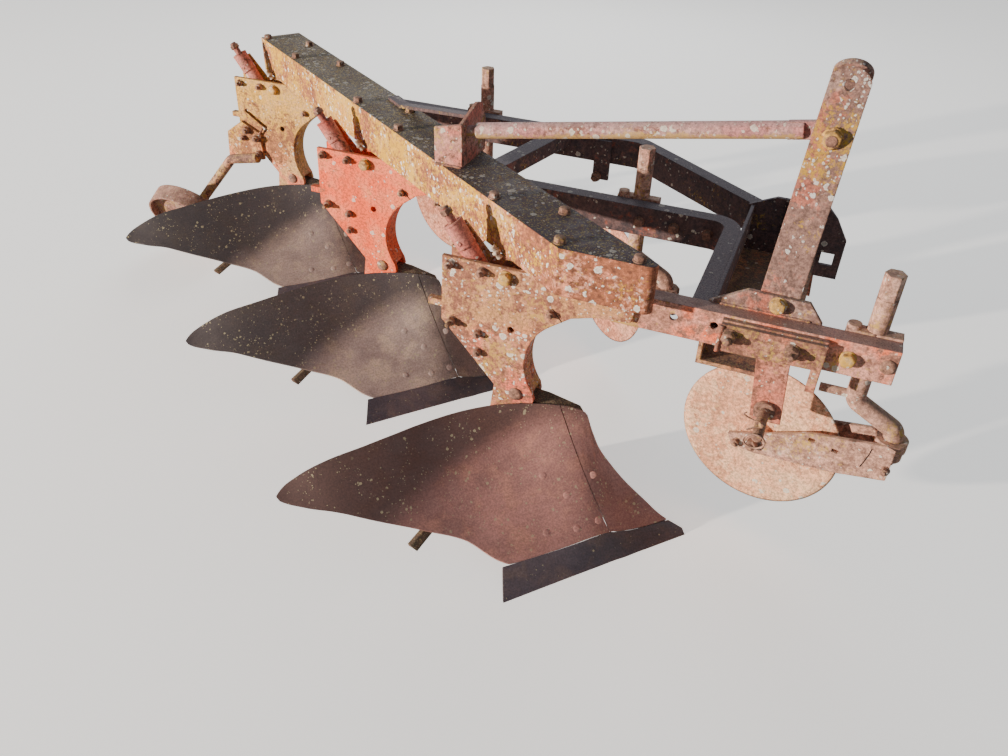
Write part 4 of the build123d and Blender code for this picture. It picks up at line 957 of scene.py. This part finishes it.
# Beam heads: three hexagon heads through the beam's top over each leg, which hold the leg's
# upper plates, one by the nose and one more over the rear leg.
BEAM_TOP, OVER_LEG, SINGLE = 705, ((129, -38), (-64, 99), (95, 91)), [(289, -46), (-833, 766)]
heads = [place + step[:2] for step in FURROWS for place in OVER_LEG] + SINGLE
forms = []
for count, (x, y) in enumerate(heads):
    forms += bolt((x, y, BEAM_TOP), UP, 20, turn=0.45 * count, thick=0.5)
gathered("beam_bolts", forms, bolt_finish)

# Rail and hitch bolts: two nuts through the hitch bracket, three on the middle rail, golden heads
# on the right rail and the gusset, a low round head at that rail's end, and a nut on the strap.
forms = bolt((474, -17, 572), NEAR, 24, 13, turn=0.2)
forms += bolt((593, -17, 569), NEAR, 24, 13, turn=0.6)
for count, x in enumerate((185, 269, 349)):
    forms += bolt((x, 411, 566), NEAR, 20, turn=0.5 * count)
gathered("hitch_bolts", forms, pin_finish)
dome = [(15, 0), (15.5, 1.5), (14, 4.6), (10, 7.2), (5, 8.4)]
gathered("rail_dome_head", [turned(dome, (763, 5, 568), NEAR)], bolt_finish)
forms = bolt((692, 5, 567), NEAR, 25, turn=0.25, thick=0.5)
forms += bolt((547.5, 43, 626), NEAR, 26, turn=0.5, thick=0.5)
gathered("golden_heads", forms, gold_finish)
gathered("strap_nut", bolt((-36, 801, 492), NEAR, 22, 8, turn=0.3), bolt_finish)

# Mast cross pin: a large steel nut at each end draws the mast's two bars together. Both are
# golden with lichen.
(x, _, z), near, far = (place * 1000 - LAYOUT for place in (nut, pin_low, pin_high))
forms = bolt((x, near[1] + 21, z), NEAR, 31, turn=0.4, thick=0.55)
forms += bolt((x, far[1] - 21, z), FAR, 31, turn=0.1, thick=0.55)
gathered("mast_nuts", forms, gold_finish)

# Wheel bracket: four nuts clamp its slotted plate and the wheel axle's upright on the rear leg,
# so that the wheel can be set higher or lower with a spanner.
forms = []
for x, z, flats in ((-108, 437, 21), (-126, 408, 15), (-74, 414, 20), (-72, 362, 19)):
    forms += bolt((x, -15, z), NEAR, flats, 7.0, turn=x * 0.1)
gathered("bracket_bolts", forms, bolt_finish, furrow=2)

# Linchpin: a turned steel pin down through the right link pin's end, with its spring ring hanging
# open and the end of its wire bent round the link pin.
angle = np.linspace(0, 2 * math.pi, 56, endpoint=False)
ring = np.stack([567 + 20 * np.cos(angle), -104 - 5 * np.sin(angle), 407 + 20 * np.sin(angle)], -1)
shaft = [(4.2, -20), (4.6, -19), (4.6, 14), (6.4, 15), (6.4, 19), (5.2, 21)]
hook = [(548, -96, 424), (560, -90, 428), (571, -84, 429), (580, -84, 425)]
wire = [(540, -80, 452), (536, -76, 444), (545, -72, 436), (556, -70, 431), (566, -68, 430)]
forms = [turned(shaft, (571, -82, 417), (0.15, 0, 1)), swept(ring, 1.9, closed=True)]
gathered("linchpin", forms + [swept(hook, 1.9), swept(wire, 1.6)], stem_finish)

# Welds: rippled beads of weld steel where plates were joined to the rails, the beam and the
# wheel's axle. Each runs straight from a start to an end and has its own half width.
SEAMS = (
    ((458, -18, 592), (456, -18, 533), 4.2), ((440, 43, 604), (612, 43, 604), 3.2),
    ((440, 53, 604), (612, 53, 604), 3.0), ((-256, 211, 706), (-192, 211, 706), 3.6),
    ((-256, 345, 706), (-192, 345, 706), 3.6), ((-1170, 797, 450), (-1190, 797, 424), 3.0),
)
beads = []
for start, end, size in SEAMS:
    run = np.subtract(end, start, dtype=float)
    share = np.linspace(0, 1, max(int(np.linalg.norm(run) / 2.6), 6))[:, None]
    beads.append(swept(start + run * share, size, 10, wave=0.16))
gathered("weld_beads", beads, plate_finish)

# Leg seams: where each leg's arm is lapped on its main plate, a thin dark line runs from the nut to
# the throat, painted shade of the gap between the plates.
# Painted shade: a near black colour for the narrow gaps of lapped joints.
gap_shade_finish = weathered(
    "seam_painted_shade", (44, 30, 28), (54, 40, 36), (48, 34, 30), (30, 22, 22), (70, 64, 58),
    shares=(0.3, 0.0, 0.0, 0.0),
)
for furrow in range(3):
    line = [(113.5, -4.6, 534), (121, -4.6, 524), (129, -4.6, 514), (136.5, -4.6, 506)]
    gathered(f"leg_seam_{furrow + 1}", [swept(line, 1.3, 8)], gap_shade_finish, furrow=furrow)

# Coulter fittings: nuts on both ends of each disc's axle, a bolt at the rear of the arms, a pin
# through the near one's front, a dark line of painted shade in the gap where it is lapped round the
# eye, and the clamp's bolt.
EYE, NEAR_ARM, FAR_ARM = np.array([823, 62.8, 0]), 28.8, 96.8
ARM_BOLTS = (
    # place, axis, width across flats, threaded end, turn
    ((566, NEAR_ARM, 257), NEAR, 24, 5, 0.2), ((566, FAR_ARM, 257), FAR, 24, 5, 0.7),
    ((531, NEAR_ARM, 243), NEAR, 15, 5, 0.5), ((531, FAR_ARM, 243), FAR, 15, 0, 0.5),
    ((833, NEAR_ARM, 318), NEAR, 15, 4, 0.9),
)
LAP = [(797, 28.9, 356), (795, 28.9, 340), (791, 28.9, 322), (786, 28.9, 303)]
for number, (swing, slide) in enumerate(zip((12.5, 43, 18), (0, 0, -17)), start=1):
    cosine, sine = math.cos(math.radians(swing)), math.sin(math.radians(swing))
    back = np.array([[cosine, sine, 0], [-sine, cosine, 0], [0, 0, 1]])
    forms = [form for row in ARM_BOLTS for form in bolt(*row)]
    for name, parts, finish in (
        ("coulter_bolts", forms, bolt_finish), ("coulter_lap", [swept(LAP, 1.2, 8)], gap_shade_finish),
    ):
        # turned about the upright eye with the yoke, and slid with the clamp
        swung = [((points - EYE) @ back.T + EYE + (slide, 0, 0), faces) for points, faces in parts]
        body = f"coulter_yoke_body_{number}"
        gathered(f"{name}_{number}", swung, finish, body=body, furrow=number - 1)
    forms = bolt((690 + slide, 69, 578), FAR, 19, 6, turn=0.3)
    gathered(f"clamp_bolt_{number}", forms, bolt_finish, furrow=number - 1)

# Plough bolts: countersunk steel heads, ground flush by the soil, that hold each mouldboard and
# shin on the frog behind. Each faces along the cross product of the worn face's two slopes.
HEAD_SPOTS = ((118, 205), (60, 160), (120, 262), (20, 250), (196, 262), (214, 196))
FLUSH_HEAD = [(8.5, -2.0), (8.5, 0.1), (7.6, 0.5), (3.0, 0.7)]
for furrow in range(3):
    forms = []
    for station, out in HEAD_SPOTS:
        near = station + np.array([0.0, 3.0, 0.0]), out + np.array([0.0, 0.0, 3.0])
        centre, along, across = plan_spot(*near, worked_height(*near), 0) * 1000 - LAYOUT
        outward = np.cross(along - centre, across - centre)
        outward *= 1 if outward[0] - outward[1] > 0 else -1
        forms.append(turned(FLUSH_HEAD, centre, outward))
    name, finish = f"plough_bolts_{furrow + 1}", board_finishes[furrow]
    gathered(name, forms, finish, furrow=furrow)
